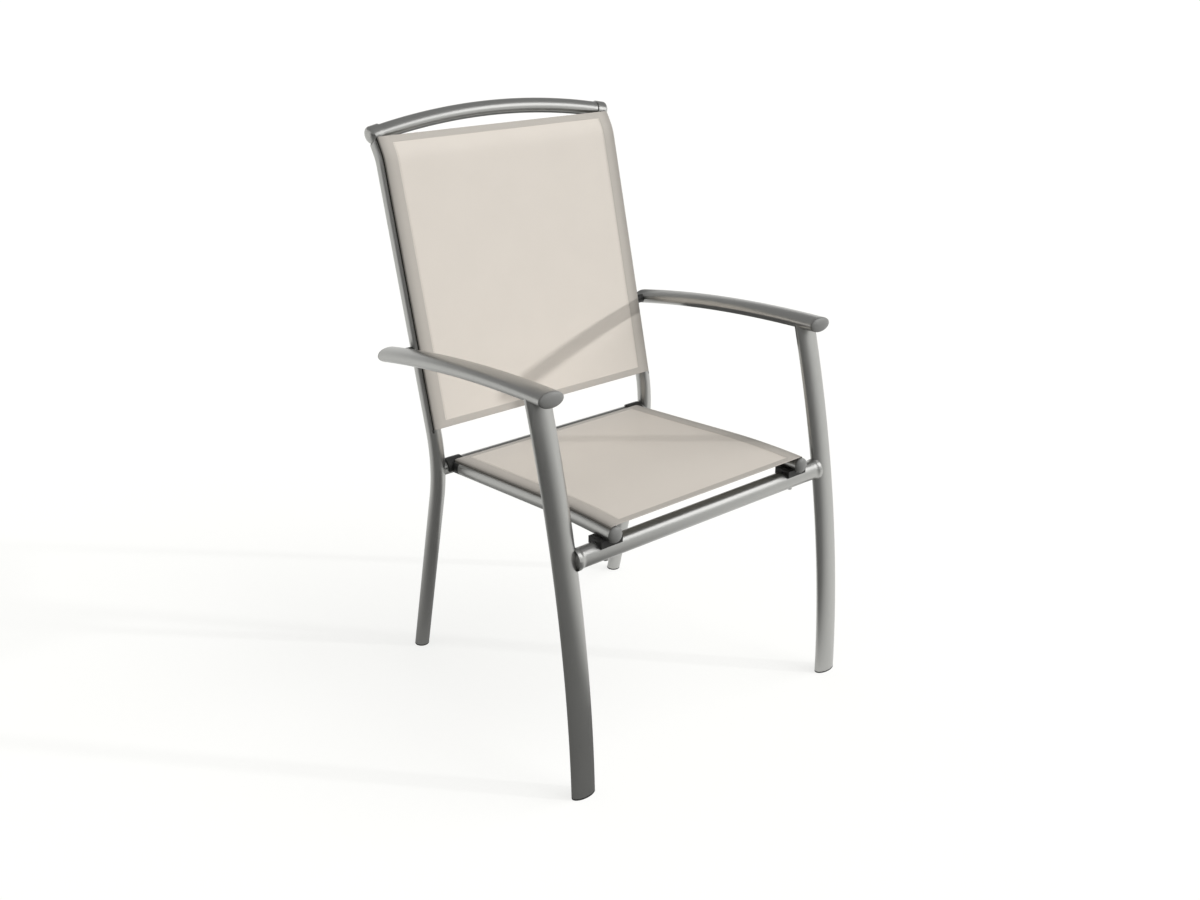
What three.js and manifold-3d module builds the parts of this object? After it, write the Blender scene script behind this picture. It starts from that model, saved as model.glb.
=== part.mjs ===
// A stackable patio chair: an aluminium tube frame with a mesh sling back and a mesh sling seat.
// Millimetres, +Z up. The chair faces -Y, and left and right are as seen from in front of it.
// The origin is on the floor, in the middle of the space that the chair covers.
import * as THREE from "three";
import { mergeVertices } from "three/addons/utils/BufferGeometryUtils.js";
import Module from "manifold-3d";

const wasm = await Module();
wasm.setup();

// Fits
const SEAT_GAP = 0.3; // between two pieces that touch
const OVERRUN = 2; // how far a cut runs past the piece that it cuts
const MERGE_DISTANCE = 0.0005; // corners closer than this are one corner

// Round tube of the uprights, top rail, seat rails and rear crossbar
const TUBE_DIAMETER = 25;
const TUBE_WALL = 1.5;

// Uprights: each is one bent tube, a rear leg below and a back post above
const UPRIGHT_SPREAD = 457; // between the two axes
const REAR_FOOT_Y = 235.5;
const KNEE_Y = 139.8; // where the axes of the leg and of the back post would cross
const KNEE_Z = 383.8;
const KNEE_RADIUS = 250;
const CROWN_DROP = 32.7; // from the ends of the top rail's axis down to where the post turns back
const CROWN_STEP = 21.4; // how far that is in front of them
const CROWN_RADIUS = 60;

// Top rail: an arch between the uprights, in a plane that leans back
const TOP_CAP_OVERHANG = 13.2; // from an upright's axis to the outer face of its cap, dome left out
const TOP_RAIL_END_Y = 281.2;
const TOP_RAIL_END_Z = 903.7;
const TOP_RAIL_RISE = 25.1;
const TOP_RAIL_LEAN = THREE.MathUtils.degToRad(16.2);
const TOP_CAP_SLEEVE = 23; // length of the sleeve of an end cap
const TOP_CAP_WALL = 1.6;
const TOP_CAP_FLOOR = 3;

// Front legs: oval tube, bowed forward
const LEG_WIDTH = 42.2;
const LEG_DEPTH = 21.1;
const LEG_WALL = 1.5;
const FRONT_FOOT_Y = -290.1;
const LEG_SETBACK = 32.4; // from the front end of the armrest to where the leg's axis meets it
const LEG_BOW = 20.5; // how far the middle stands in front of a straight line

// Armrests: flat oval tube, bowed up, straight above the front legs
const ARM_WIDTH = 43;
const ARM_THICKNESS = 24;
const ARM_WALL = 1.5;
const ARM_REAR_REACH = 17; // how far its rear end lies behind the upright's axis
const ARM_REAR_Z = 571.4;
const ARM_FRONT_Y = -224.5;
const ARM_FRONT_Z = 616.4;
const ARM_BOW = 9;

// Crossbars
const FRONT_BAR_DIAMETER = 31.5;
const FRONT_BAR_WALL = 1.5;
const FRONT_BAR_Z = 376;
const FRONT_BAR_HOLD = 6; // how far its ends reach round the inner edges of the legs
const FLARE_LENGTH = 8; // the widened weld at each end
const FLARE_SWELL = 3;
const REAR_BAR_Z = 375.3;

// Seat rails: they rest on the front crossbar and run back to the rear one
const RAIL_ROOM = 7.5; // between a seat rail and its upright
const RAIL_FRONT_REACH = 20.2; // how far it runs past the front crossbar's axis
const RAIL_BEND_SETBACK = 66.8; // how far behind that axis the two straight runs would cross
const RAIL_NOSE = 9.6; // length of the level run at the front, before the bend
const RAIL_PLUG_LENGTH = 17; // the black end piece between the rail and the rear crossbar
const SADDLE_WEB = 1.25; // the rail's height above the front crossbar
const SADDLE_WIDTH = 40;
const SADDLE_LENGTH = 30;
const SADDLE_SKIRT = 6; // how far it hangs down round the crossbar
const SADDLE_CHEEK = 4; // how far it stands up round the rail

// Sling channel: a round bore for the welt rod and a slot out of it
const CHANNEL_RADIUS = 3.4;
const CHANNEL_WALL = 1.2;
const CHANNEL_DEPTH = 5.2; // from the tube's surface to the channel's axis
const CHANNEL_RUNOUT = 5; // how far it runs on below the back sling
const SLOT_WIDTH = 3.2;
const SLOT_TURN = THREE.MathUtils.degToRad(32); // from the sling's side of the tube, outwards
const WELT_ROD_DIAMETER = 5.2;

// Slings
const SLING_THICKNESS = 1.2;
const BACK_SLING_BOTTOM_RISE = 69.7; // from the rear crossbar's axis up to its lower edge
const BACK_SLING_TOP_SPACE = 10; // from the top rail's axis
const SEAT_SLING_FRONT_SPACE = 1.5; // from the front end of the rail
const SEAT_SLING_REAR_SPACE = 0.5; // from the rear crossbar

// Plastic ends
const PLUG_LENGTH = 16; // the part of a cap or plug that is inside its tube
const ARM_PLUG_LENGTH = 8; // short, because the arm's bolt is close behind it
const FOOT_THICKNESS = 2.6;
const CAP_RIM = 2;
const ARM_CAP_DOME = 5;
const RAIL_CAP_RIM = 3.5;
const RAIL_CAP_DOME = 4;
const TOP_CAP_DOME = 2;

// Fasteners
const ARM_BOLT_DIAMETER = 5;
const ARM_BOLT_REACH = 10; // how far it runs into the armrest
const ARM_SPACER_DIAMETER = 15;
const ARM_SPACER_LENGTH = 9.8; // between the upright and the armrest
const ARM_NUT_DIAMETER = 10;
const ARM_NUT_LENGTH = 6;
const SCREW_DIAMETER = 4.8;
const SADDLE_SCREW_REACH = 6; // how far it stands inside the seat rail
const REAR_SCREW_REACH = 20; // how far it runs into the rail's end piece
const HEAD_SHARE = 2; // head diameter over shank diameter
const HEAD_HEIGHT_SHARE = 0.6; // head height over shank diameter

// Counts of faces
const TUBE_SIDES = 20;
const BORE_SIDES = 10;
const SMALL_SIDES = 10;
const BEND_STEP = THREE.MathUtils.degToRad(7.1);
const RAIL_STEP = THREE.MathUtils.degToRad(2);
const ARCH_STEPS = 8;
const LEG_STEPS = 5;
const ARM_STEPS = 5;
const DOME_RINGS = 3;
const WRAP_STEPS = 4;
const SETTLE_ROUNDS = 10;

// Sizes that follow from these
const tubeRadius = TUBE_DIAMETER / 2;
const boreRadius = tubeRadius - TUBE_WALL;
const frontBarRadius = FRONT_BAR_DIAMETER / 2;
const topCapRadius = tubeRadius + SEAT_GAP + TOP_CAP_WALL;
const channelOffset = tubeRadius - CHANNEL_DEPTH;
const screwRadius = SCREW_DIAMETER / 2;
const armBoltRadius = ARM_BOLT_DIAMETER / 2;
const uprightX = UPRIGHT_SPREAD / 2;
const railX = uprightX - TUBE_DIAMETER - RAIL_ROOM;
const legX = uprightX + tubeRadius + ARM_SPACER_LENGTH + ARM_WIDTH / 2;
const topRailEndX = uprightX + TOP_CAP_OVERHANG;

const ACROSS = new THREE.Vector3(1, 0, 0);
const FORWARD = new THREE.Vector3(0, -1, 0);
const UP = new THREE.Vector3(0, 0, 1);

// Materials

const metal = (color, roughness) =>
  new THREE.MeshStandardMaterial({ color, roughness, metalness: 0.9 });
const plastic = (color, roughness) =>
  new THREE.MeshStandardMaterial({ color, roughness, metalness: 0 });

const finishes = {
  frame: () => metal(0x8d8d8a, 0.36),
  endCap: () => plastic(0xa9a9a6, 0.45),
  blackPlastic: () => plastic(0x171716, 0.5),
  steel: () => metal(0xb9b9b6, 0.3),
  mesh: () => plastic(0xdcd3c9, 0.8),
  weltRod: () => plastic(0xe6e4de, 0.6),
};

// Paths

// A path through chosen stations. A section that is swept along it keeps its own x on the
// side vector, and its own y on the cross product of the path's direction and the side vector.
class StationPath extends THREE.Curve {
  constructor(points, tangents, side) {
    super();
    this.points = points;
    this.tangents = tangents;
    this.side = side;
    this.distances = points.map(() => 0);
    for (let i = 1; i < points.length; i += 1) {
      this.distances[i] = this.distances[i - 1] + points[i].distanceTo(points[i - 1]);
    }
  }

  get length() {
    return this.distances[this.distances.length - 1];
  }

  get steps() {
    return this.points.length - 1;
  }

  // The place and direction at a distance along the path.
  at(distance) {
    let next = this.distances.findIndex((d) => d >= distance);
    if (next === -1) next = this.steps;
    next = Math.max(next, 1);
    const from = this.distances[next - 1];
    const share = (distance - from) / (this.distances[next] - from);
    const point = this.points[next - 1].clone().lerp(this.points[next], share);
    const tangent = this.tangents[next - 1].clone().lerp(this.tangents[next], share);
    return { point, tangent: tangent.normalize() };
  }

  getPoint(share) {
    return this.at(share * this.length).point;
  }

  getSpacedPoints() {
    return this.points.map((p) => p.clone());
  }

  computeFrenetFrames() {
    return {
      tangents: this.tangents.map((t) => t.clone()),
      normals: this.tangents.map(() => this.side.clone()),
      binormals: this.tangents.map((t) => t.clone().cross(this.side)),
    };
  }

  // The stretch between two distances, with the same stations in between.
  stretch(from, to) {
    const inside = this.distances
      .map((d, i) => ({ d, point: this.points[i], tangent: this.tangents[i] }))
      .filter((s) => s.d > from + MERGE_DISTANCE && s.d < to - MERGE_DISTANCE);
    const all = [this.at(from), ...inside, this.at(to)];
    return new StationPath(
      all.map((s) => s.point.clone()),
      all.map((s) => s.tangent.clone()),
      this.side,
    );
  }

  // The same path, moved across the chair.
  movedAcross(x) {
    const points = this.points.map((p) => p.clone().setX(p.x + x));
    return new StationPath(points, this.tangents, this.side);
  }

  // The same path with a straight run added at its start and at its end.
  extended(before, after) {
    const first = this.points[0].clone().addScaledVector(this.tangents[0], -before);
    const end = this.steps;
    const last = this.points[end].clone().addScaledVector(this.tangents[end], after);
    return new StationPath(
      [...(before ? [first] : []), ...this.points, ...(after ? [last] : [])],
      [
        ...(before ? [this.tangents[0]] : []),
        ...this.tangents,
        ...(after ? [this.tangents[end]] : []),
      ],
      this.side,
    );
  }

  // The distance at which one coordinate, "x", "y" or "z", has a value.
  distanceWhere(axis, value) {
    for (let i = 1; i <= this.steps; i += 1) {
      const a = this.points[i - 1][axis];
      const b = this.points[i][axis];
      if ((a - value) * (b - value) <= 0 && a !== b) {
        const share = (value - a) / (b - a);
        return THREE.MathUtils.lerp(this.distances[i - 1], this.distances[i], share);
      }
    }
    throw new Error(`the path never has ${axis} = ${value}`);
  }

  pointWhere(axis, value) {
    return this.at(this.distanceWhere(axis, value)).point;
  }
}

const straightPath = (from, to, side) => {
  const tangent = to.clone().sub(from).normalize();
  return new StationPath([from, to], [tangent, tangent], side);
};

// Straight runs between corners, joined by arcs that touch both runs at each inner corner.
function bentPath(corners, radii, side, stepAngle) {
  const directions = corners.slice(1).map((c, i) => c.clone().sub(corners[i]).normalize());
  const points = [corners[0]];
  const tangents = [directions[0]];
  radii.forEach((radius, i) => {
    const before = directions[i];
    const after = directions[i + 1];
    const turn = before.angleTo(after);
    const start = corners[i + 1].clone().addScaledVector(before, -radius * Math.tan(turn / 2));
    const inward = after.clone().addScaledVector(before, -Math.cos(turn)).normalize();
    const steps = Math.ceil(turn / stepAngle);
    for (let k = 0; k <= steps; k += 1) {
      const angle = (turn * k) / steps;
      points.push(
        start
          .clone()
          .addScaledVector(before, radius * Math.sin(angle))
          .addScaledVector(inward, radius * (1 - Math.cos(angle))),
      );
      tangents.push(
        before.clone().multiplyScalar(Math.cos(angle)).addScaledVector(inward, Math.sin(angle)),
      );
    }
  });
  points.push(corners[corners.length - 1]);
  tangents.push(directions[directions.length - 1]);
  return new StationPath(points, tangents, side);
}

// One arc from start to end whose middle rises above the chord, on the side that faces "towards".
function archPath(start, end, rise, towards, side, steps) {
  const chord = end.clone().sub(start);
  const along = chord.clone().normalize();
  const lift = towards.clone().addScaledVector(along, -towards.dot(along)).normalize();
  const half = chord.length() / 2;
  const radius = (half * half + rise * rise) / (2 * rise);
  const reach = Math.asin(half / radius);
  const centre = start.clone().lerp(end, 1 / 2).addScaledVector(lift, rise - radius);
  const angles = Array.from({ length: steps + 1 }, (_, i) => reach * ((2 * i) / steps - 1));
  return new StationPath(
    angles.map((a) =>
      centre
        .clone()
        .addScaledVector(along, radius * Math.sin(a))
        .addScaledVector(lift, radius * Math.cos(a)),
    ),
    angles.map((a) => along.clone().multiplyScalar(Math.cos(a)).addScaledVector(lift, -Math.sin(a))),
    side,
  );
}

// Outlines

const ovalPoints = (halfWidth, halfDepth, sides, centre = new THREE.Vector2()) =>
  Array.from({ length: sides }, (_, i) => {
    const turn = (2 * Math.PI * i) / sides;
    return new THREE.Vector2(
      centre.x + halfWidth * Math.cos(turn),
      centre.y + halfDepth * Math.sin(turn),
    );
  });

const ovalShape = (halfWidth, halfDepth, sides, centre) =>
  new THREE.Shape(ovalPoints(halfWidth, halfDepth, sides, centre));

const ringShape = (halfWidth, halfDepth, wall) => {
  const shape = ovalShape(halfWidth, halfDepth, TUBE_SIDES);
  shape.holes.push(new THREE.Path(ovalPoints(halfWidth - wall, halfDepth - wall, BORE_SIDES)));
  return shape;
};

// Solids

function solidOf(geometry) {
  const bare = geometry.clone();
  bare.deleteAttribute("normal");
  bare.deleteAttribute("uv");
  const merged = mergeVertices(bare, MERGE_DISTANCE);
  return new wasm.Manifold(
    new wasm.Mesh({
      numProp: 3,
      vertProperties: new Float32Array(merged.attributes.position.array),
      triVerts: new Uint32Array(merged.index.array),
    }),
  );
}

function geometryOf(solid) {
  const { numProp, vertProperties, triVerts } = solid.getMesh();
  const corners = new THREE.InterleavedBuffer(vertProperties, numProp);
  const indexed = new THREE.BufferGeometry()
    .setAttribute("position", new THREE.InterleavedBufferAttribute(corners, 3, 0))
    .setIndex(new THREE.BufferAttribute(triVerts, 1));
  const flat = indexed.toNonIndexed();
  flat.computeVertexNormals();
  return flat;
}

const sweep = (shape, path) =>
  solidOf(
    new THREE.ExtrudeGeometry(shape, {
      steps: path.steps,
      extrudePath: path,
      bevelEnabled: false,
    }),
  );

const rod = (from, to, radius, sides = SMALL_SIDES) => {
  const direction = to.clone().sub(from).normalize();
  const side = Math.abs(direction.x) > Math.abs(direction.z) ? UP : ACROSS;
  return sweep(ovalShape(radius, radius, sides), straightPath(from, to, side));
};

// A box between two opposite corners.
function boxBetween(low, high) {
  const size = high.clone().sub(low);
  const geometry = new THREE.BoxGeometry(size.x, size.y, size.z);
  const middle = low.clone().lerp(high, 1 / 2);
  return solidOf(geometry.translate(middle.x, middle.y, middle.z));
}

// A screw whose shank runs from the seat of its head to its tip.
function headedScrew(seat, tip, radius) {
  const outward = seat.clone().sub(tip).normalize();
  const top = seat.clone().addScaledVector(outward, HEAD_HEIGHT_SHARE * 2 * radius);
  return rod(tip, seat.clone().addScaledVector(outward, radius / 2), radius).add(
    rod(seat, top, radius * HEAD_SHARE),
  );
}

// The frame at an end of a path, with its z axis pointing out of the end.
function endFrame(path, atStart) {
  const { point, tangent } = path.at(atStart ? 0 : path.length);
  const outward = atStart ? tangent.clone().negate() : tangent;
  const y = outward.clone().cross(path.side);
  return new THREE.Matrix4().makeBasis(path.side, y, outward).setPosition(point);
}

// A cap at the end of an oval tube: a straight rim of the tube's outline, then a dome.
function domedEnd(frame, halfWidth, halfDepth, start, rim, dome) {
  const profile = [new THREE.Vector2(0, start), new THREE.Vector2(1, start)];
  for (let i = 0; i < DOME_RINGS; i += 1) {
    const turn = (Math.PI / 2) * (i / DOME_RINGS);
    profile.push(new THREE.Vector2(Math.cos(turn), rim + dome * Math.sin(turn)));
  }
  profile.push(new THREE.Vector2(0, rim + dome));
  // The profile turns about y, so the cap is laid over to point along z.
  const cap = new THREE.LatheGeometry(profile, TUBE_SIDES)
    .rotateX(Math.PI / 2)
    .scale(halfWidth, halfDepth, 1)
    .applyMatrix4(frame);
  return solidOf(cap);
}

// A cap with a spigot that fits the tube's bore.
function domedPlug({ path, halfWidth, halfDepth, wall, rim, dome, reach, atStart = false }) {
  const bore = ovalShape(
    halfWidth - wall - SEAT_GAP,
    halfDepth - wall - SEAT_GAP,
    BORE_SIDES,
  );
  const longer = path.extended(atStart ? rim : 0, atStart ? 0 : rim);
  const spigot = atStart
    ? longer.stretch(0, rim + reach)
    : longer.stretch(longer.length - rim - reach, longer.length);
  return domedEnd(endFrame(path, atStart), halfWidth, halfDepth, SEAT_GAP, rim, dome).add(
    sweep(bore, spigot),
  );
}

// The chair's paths. Those of the right side lie at their real x.

const point = (x, y, z) => new THREE.Vector3(x, y, z);

const topRailPath = archPath(
  point(-topRailEndX, TOP_RAIL_END_Y, TOP_RAIL_END_Z),
  point(topRailEndX, TOP_RAIL_END_Y, TOP_RAIL_END_Z),
  TOP_RAIL_RISE,
  point(0, Math.sin(TOP_RAIL_LEAN), Math.cos(TOP_RAIL_LEAN)),
  point(0, Math.cos(TOP_RAIL_LEAN), -Math.sin(TOP_RAIL_LEAN)),
  ARCH_STEPS,
);
const topRailOverUpright = topRailPath.pointWhere("x", uprightX);

// From the top rail down to the floor, in the middle of the chair and at the right upright.
const backPath = bentPath(
  [
    topRailOverUpright.clone().setX(0),
    point(0, TOP_RAIL_END_Y - CROWN_STEP, TOP_RAIL_END_Z - CROWN_DROP),
    point(0, KNEE_Y, KNEE_Z),
    point(0, REAR_FOOT_Y, 0),
  ],
  [CROWN_RADIUS, KNEE_RADIUS],
  ACROSS,
  BEND_STEP,
);
const uprightPath = backPath.movedAcross(uprightX);

const armPath = archPath(
  point(legX, backPath.pointWhere("z", ARM_REAR_Z).y + ARM_REAR_REACH, ARM_REAR_Z),
  point(legX, ARM_FRONT_Y, ARM_FRONT_Z),
  ARM_BOW,
  UP,
  ACROSS,
  ARM_STEPS,
);
const legFoot = point(legX, FRONT_FOOT_Y, 0);
const legPath = archPath(
  legFoot,
  armPath.pointWhere("y", ARM_FRONT_Y + LEG_SETBACK),
  LEG_BOW,
  FORWARD,
  ACROSS,
  LEG_STEPS,
);

const frontBarCentre = legPath.pointWhere("z", FRONT_BAR_Z).setX(0);
const rearBarCentre = backPath.pointWhere("z", REAR_BAR_Z);
const barY = frontBarCentre.y;
const railFrontZ = FRONT_BAR_Z + frontBarRadius + SADDLE_WEB + tubeRadius;

// From the rear crossbar to the front, in the middle of the chair and at the right seat rail.
const railCorner = point(0, barY + RAIL_BEND_SETBACK, railFrontZ);
const railDip = railCorner.clone().sub(rearBarCentre).angleTo(FORWARD);
const railBendRun = RAIL_BEND_SETBACK + RAIL_FRONT_REACH - RAIL_NOSE;
const seatPath = bentPath(
  [rearBarCentre, railCorner, point(0, barY - RAIL_FRONT_REACH, railFrontZ)],
  [railBendRun / Math.tan(railDip / 2)],
  ACROSS,
  RAIL_STEP,
);
const railPath = seatPath.movedAcross(railX);
const railTubeStart = tubeRadius + RAIL_PLUG_LENGTH;

// Where the axis of the upright crosses the armrest's, seen from the side.
const armBoltCentre = armPath.points[0].clone().setX(0);
for (let i = 0; i < SETTLE_ROUNDS; i += 1) {
  armBoltCentre.y = backPath.pointWhere("z", armBoltCentre.z).y;
  armBoltCentre.z = armPath.pointWhere("y", armBoltCentre.y).z;
}

// Outer surfaces of the carrying pieces, swelled by the gap that their neighbours keep to them

const swelled = (path, halfWidth, halfDepth = halfWidth) =>
  sweep(ovalShape(halfWidth + SEAT_GAP, halfDepth + SEAT_GAP, TUBE_SIDES), path);
const across = (centre, halfLength) => [
  centre.clone().setX(-halfLength),
  centre.clone().setX(halfLength),
];

const aroundUpright = swelled(uprightPath, tubeRadius);
const aroundLeg = swelled(legPath, LEG_WIDTH / 2, LEG_DEPTH / 2);
const aroundArm = swelled(armPath, ARM_WIDTH / 2, ARM_THICKNESS / 2);
const aroundTopCaps = swelled(topRailPath.extended(OVERRUN, OVERRUN), topCapRadius);
const aroundFrontBar = rod(...across(frontBarCentre, legX), frontBarRadius + SEAT_GAP, TUBE_SIDES);
const aroundRearBar = rod(...across(rearBarCentre, legX), tubeRadius + SEAT_GAP, TUBE_SIDES);
const aroundRail = swelled(railPath, tubeRadius);

// Fasteners of the right side, each with the hole that it needs

const armInnerX = legX - ARM_WIDTH / 2;
const armBoltSeat = armBoltCentre.clone().setX(uprightX - tubeRadius - SEAT_GAP);
const armBoltTip = armBoltCentre.clone().setX(armInnerX + ARM_WALL + ARM_BOLT_REACH);
const saddleScrewSeat = frontBarCentre
  .clone()
  .setX(railX)
  .setZ(FRONT_BAR_Z - frontBarRadius - SEAT_GAP);
const saddleScrewTip = saddleScrewSeat
  .clone()
  .setZ(railFrontZ - boreRadius + SADDLE_SCREW_REACH);
const railStart = railPath.at(0);
const rearScrewSeat = railStart.point
  .clone()
  .addScaledVector(railStart.tangent, -tubeRadius - SEAT_GAP);
const rearScrewTip = railStart.point
  .clone()
  .addScaledVector(railStart.tangent, tubeRadius + REAR_SCREW_REACH);

function holeFor(seat, tip, radius) {
  const along = tip.clone().sub(seat).normalize();
  return rod(
    seat.clone().addScaledVector(along, -OVERRUN),
    tip.clone().addScaledVector(along, OVERRUN),
    radius + SEAT_GAP,
  );
}
const armBoltHole = holeFor(armBoltSeat, armBoltTip, armBoltRadius);
const saddleScrewHole = holeFor(saddleScrewSeat, saddleScrewTip, screwRadius);
const rearScrewHole = holeFor(rearScrewSeat, rearScrewTip, screwRadius);

// Pieces that reach across the chair are cut by the same solid on the left.
const mirrorSolid = (solid) => {
  const geometry = geometryOf(solid);
  const place = geometry.getAttribute("position");
  for (let i = 0; i < place.count; i += 3) {
    const [a, b, c] = [0, 1, 2].map((k) => new THREE.Vector3().fromBufferAttribute(place, i + k));
    place.setXYZ(i, -a.x, a.y, a.z);
    place.setXYZ(i + 1, -c.x, c.y, c.z);
    place.setXYZ(i + 2, -b.x, b.y, b.z);
  }
  return solidOf(geometry);
};

// Sling channel

// A point of the tube's section, by its distance out through the slot and its distance to one side.
const slotPoint = (out, aside) =>
  new THREE.Vector2(
    out * Math.sin(SLOT_TURN) + aside * Math.cos(SLOT_TURN),
    out * Math.cos(SLOT_TURN) - aside * Math.sin(SLOT_TURN),
  );
const channelCentre = slotPoint(channelOffset, 0);
const slotMouth = tubeRadius + OVERRUN;
const slotShape = new THREE.Shape([
  slotPoint(channelOffset, SLOT_WIDTH / 2),
  slotPoint(slotMouth, SLOT_WIDTH / 2),
  slotPoint(slotMouth, -SLOT_WIDTH / 2),
  slotPoint(channelOffset, -SLOT_WIDTH / 2),
]);

// The channel's wall is half round inside the tube, and its sides run out into the tube's wall.
const channelWallShape = (extra = 0) => {
  const radius = CHANNEL_RADIUS + CHANNEL_WALL + extra;
  const round = Array.from({ length: BORE_SIDES / 2 + 1 }, (_, i) => {
    const turn = (2 * Math.PI * i) / BORE_SIDES;
    return slotPoint(channelOffset - radius * Math.sin(turn), radius * Math.cos(turn));
  });
  return new THREE.Shape([...round, slotPoint(boreRadius, -radius), slotPoint(boreRadius, radius)]);
};
const channelVoid = (path) =>
  sweep(ovalShape(CHANNEL_RADIUS, CHANNEL_RADIUS, SMALL_SIDES, channelCentre), path).add(
    sweep(slotShape, path),
  );

// A round tube with the channel along one stretch of it.
function channelledTube(path, channelFrom, channelTo) {
  const wallPath = path.stretch(channelFrom, channelTo);
  const voidPath = wallPath.extended(OVERRUN, OVERRUN);
  return sweep(ringShape(tubeRadius, tubeRadius, TUBE_WALL), path)
    .add(sweep(channelWallShape(), wallPath))
    .subtract(channelVoid(voidPath));
}

// Slings

const arcPoints = (radius, from, to) =>
  Array.from({ length: WRAP_STEPS + 1 }, (_, i) => {
    const turn = THREE.MathUtils.lerp(from, to, i / WRAP_STEPS);
    return new THREE.Vector2(radius * Math.sin(turn), radius * Math.cos(turn));
  });

// The section of a sling: flat from tube to tube, then round each tube and into its slot.
function slingShape(tubeX) {
  const inner = tubeRadius + SEAT_GAP;
  const outer = inner + SLING_THICKNESS;
  const half = SLING_THICKNESS / 2;
  const tabEnd = channelOffset + WELT_ROD_DIAMETER / 2 + SEAT_GAP;
  const right = [
    ...arcPoints(outer, 0, SLOT_TURN + Math.asin(half / outer)),
    slotPoint(tabEnd, half),
    slotPoint(tabEnd, -half),
    ...arcPoints(inner, SLOT_TURN - Math.asin(half / inner), 0),
  ].map((p) => p.setX(p.x + tubeX));
  const left = [...right].reverse().map((p) => new THREE.Vector2(-p.x, p.y));
  return new THREE.Shape([...right, ...left]);
}

const backSlingTo = backPath.distanceWhere("z", REAR_BAR_Z + BACK_SLING_BOTTOM_RISE);
const seatSlingFrom = tubeRadius + SEAT_SLING_REAR_SPACE;
const seatSlingTo = seatPath.length - SEAT_SLING_FRONT_SPACE;
const weltRodShape = ovalShape(
  WELT_ROD_DIAMETER / 2,
  WELT_ROD_DIAMETER / 2,
  SMALL_SIDES,
  channelCentre,
);

// Feet

const footBlock = (foot, low, high) =>
  boxBetween(
    foot.clone().add(point(-LEG_WIDTH, -LEG_WIDTH, low)),
    foot.clone().add(point(LEG_WIDTH, LEG_WIDTH, high)),
  );

// The tube ends a little above the floor, on the flange of its foot.
const cutForFoot = (tube, foot) =>
  tube.subtract(footBlock(foot, -LEG_WIDTH, FOOT_THICKNESS + SEAT_GAP));

function footPlug({ path, foot, halfWidth, halfDepth, wall }) {
  const flange = sweep(ovalShape(halfWidth, halfDepth, TUBE_SIDES), path).intersect(
    footBlock(foot, 0, FOOT_THICKNESS),
  );
  const inset = wall + SEAT_GAP;
  const spigotShape = ovalShape(halfWidth - inset, halfDepth - inset, BORE_SIDES);
  return sweep(spigotShape, path).intersect(footBlock(foot, 0, PLUG_LENGTH)).add(flange);
}

// Pieces of the right side

const rearFoot = point(uprightX, REAR_FOOT_Y, 0);
const uprightToFloor = uprightPath.extended(0, tubeRadius);
const legToFloor = legPath.extended(LEG_WALL + OVERRUN, 0);

const upright = () =>
  cutForFoot(channelledTube(uprightToFloor, OVERRUN, backSlingTo + CHANNEL_RUNOUT), rearFoot)
    .subtract(aroundTopCaps)
    .subtract(armBoltHole);

const frontLeg = () =>
  cutForFoot(sweep(ringShape(LEG_WIDTH / 2, LEG_DEPTH / 2, LEG_WALL), legToFloor), legFoot).subtract(
    aroundArm,
  );

const armrest = () =>
  sweep(ringShape(ARM_WIDTH / 2, ARM_THICKNESS / 2, ARM_WALL), armPath).subtract(armBoltHole);

const armCap = (atStart) =>
  domedPlug({
    path: armPath,
    atStart,
    halfWidth: ARM_WIDTH / 2,
    halfDepth: ARM_THICKNESS / 2,
    wall: ARM_WALL,
    rim: CAP_RIM,
    dome: ARM_CAP_DOME,
    reach: ARM_PLUG_LENGTH,
  });

const armSpacer = () =>
  rod(
    armBoltCentre.clone().setX(uprightX),
    armBoltCentre.clone().setX(legX),
    ARM_SPACER_DIAMETER / 2,
    TUBE_SIDES,
  )
    .subtract(aroundUpright)
    .subtract(aroundArm)
    .subtract(armBoltHole);

const armNut = () => {
  const inset = ARM_WALL + SEAT_GAP;
  const bore = ovalShape(ARM_WIDTH / 2 - inset, ARM_THICKNESS / 2 - inset, BORE_SIDES);
  return rod(
    armBoltCentre.clone().setX(armInnerX),
    armBoltCentre.clone().setX(armInnerX + ARM_WALL + ARM_NUT_LENGTH),
    ARM_NUT_DIAMETER / 2,
  )
    .intersect(sweep(bore, armPath))
    .subtract(armBoltHole);
};

const seatRail = () => {
  const tubePath = railPath.stretch(railTubeStart + SEAT_GAP, railPath.length);
  return channelledTube(tubePath, 0, tubePath.length)
    .subtract(saddleScrewHole)
    .subtract(rearScrewHole);
};

// The spigots in a seat rail leave room for the channel.
const aroundChannel = () => sweep(channelWallShape(SEAT_GAP), railPath);

const railFrontCap = () => {
  const path = railPath;
  const plug = domedPlug({
    path,
    halfWidth: tubeRadius,
    halfDepth: tubeRadius,
    wall: TUBE_WALL,
    rim: RAIL_CAP_RIM,
    dome: RAIL_CAP_DOME,
    reach: PLUG_LENGTH,
  });
  return plug.subtract(aroundChannel()).subtract(saddleScrewHole);
};

const railRearPlug = () => {
  const spigotShape = ovalShape(boreRadius - SEAT_GAP, boreRadius - SEAT_GAP, BORE_SIDES);
  const spigotPath = railPath.stretch(0, railTubeStart + PLUG_LENGTH);
  const headPath = railPath.stretch(0, railTubeStart);
  return sweep(ovalShape(tubeRadius, tubeRadius, TUBE_SIDES), headPath)
    .subtract(channelVoid(headPath.extended(OVERRUN, OVERRUN)))
    .add(sweep(spigotShape, spigotPath).subtract(aroundChannel()))
    .subtract(aroundRearBar)
    .subtract(rearScrewHole);
};

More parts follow.
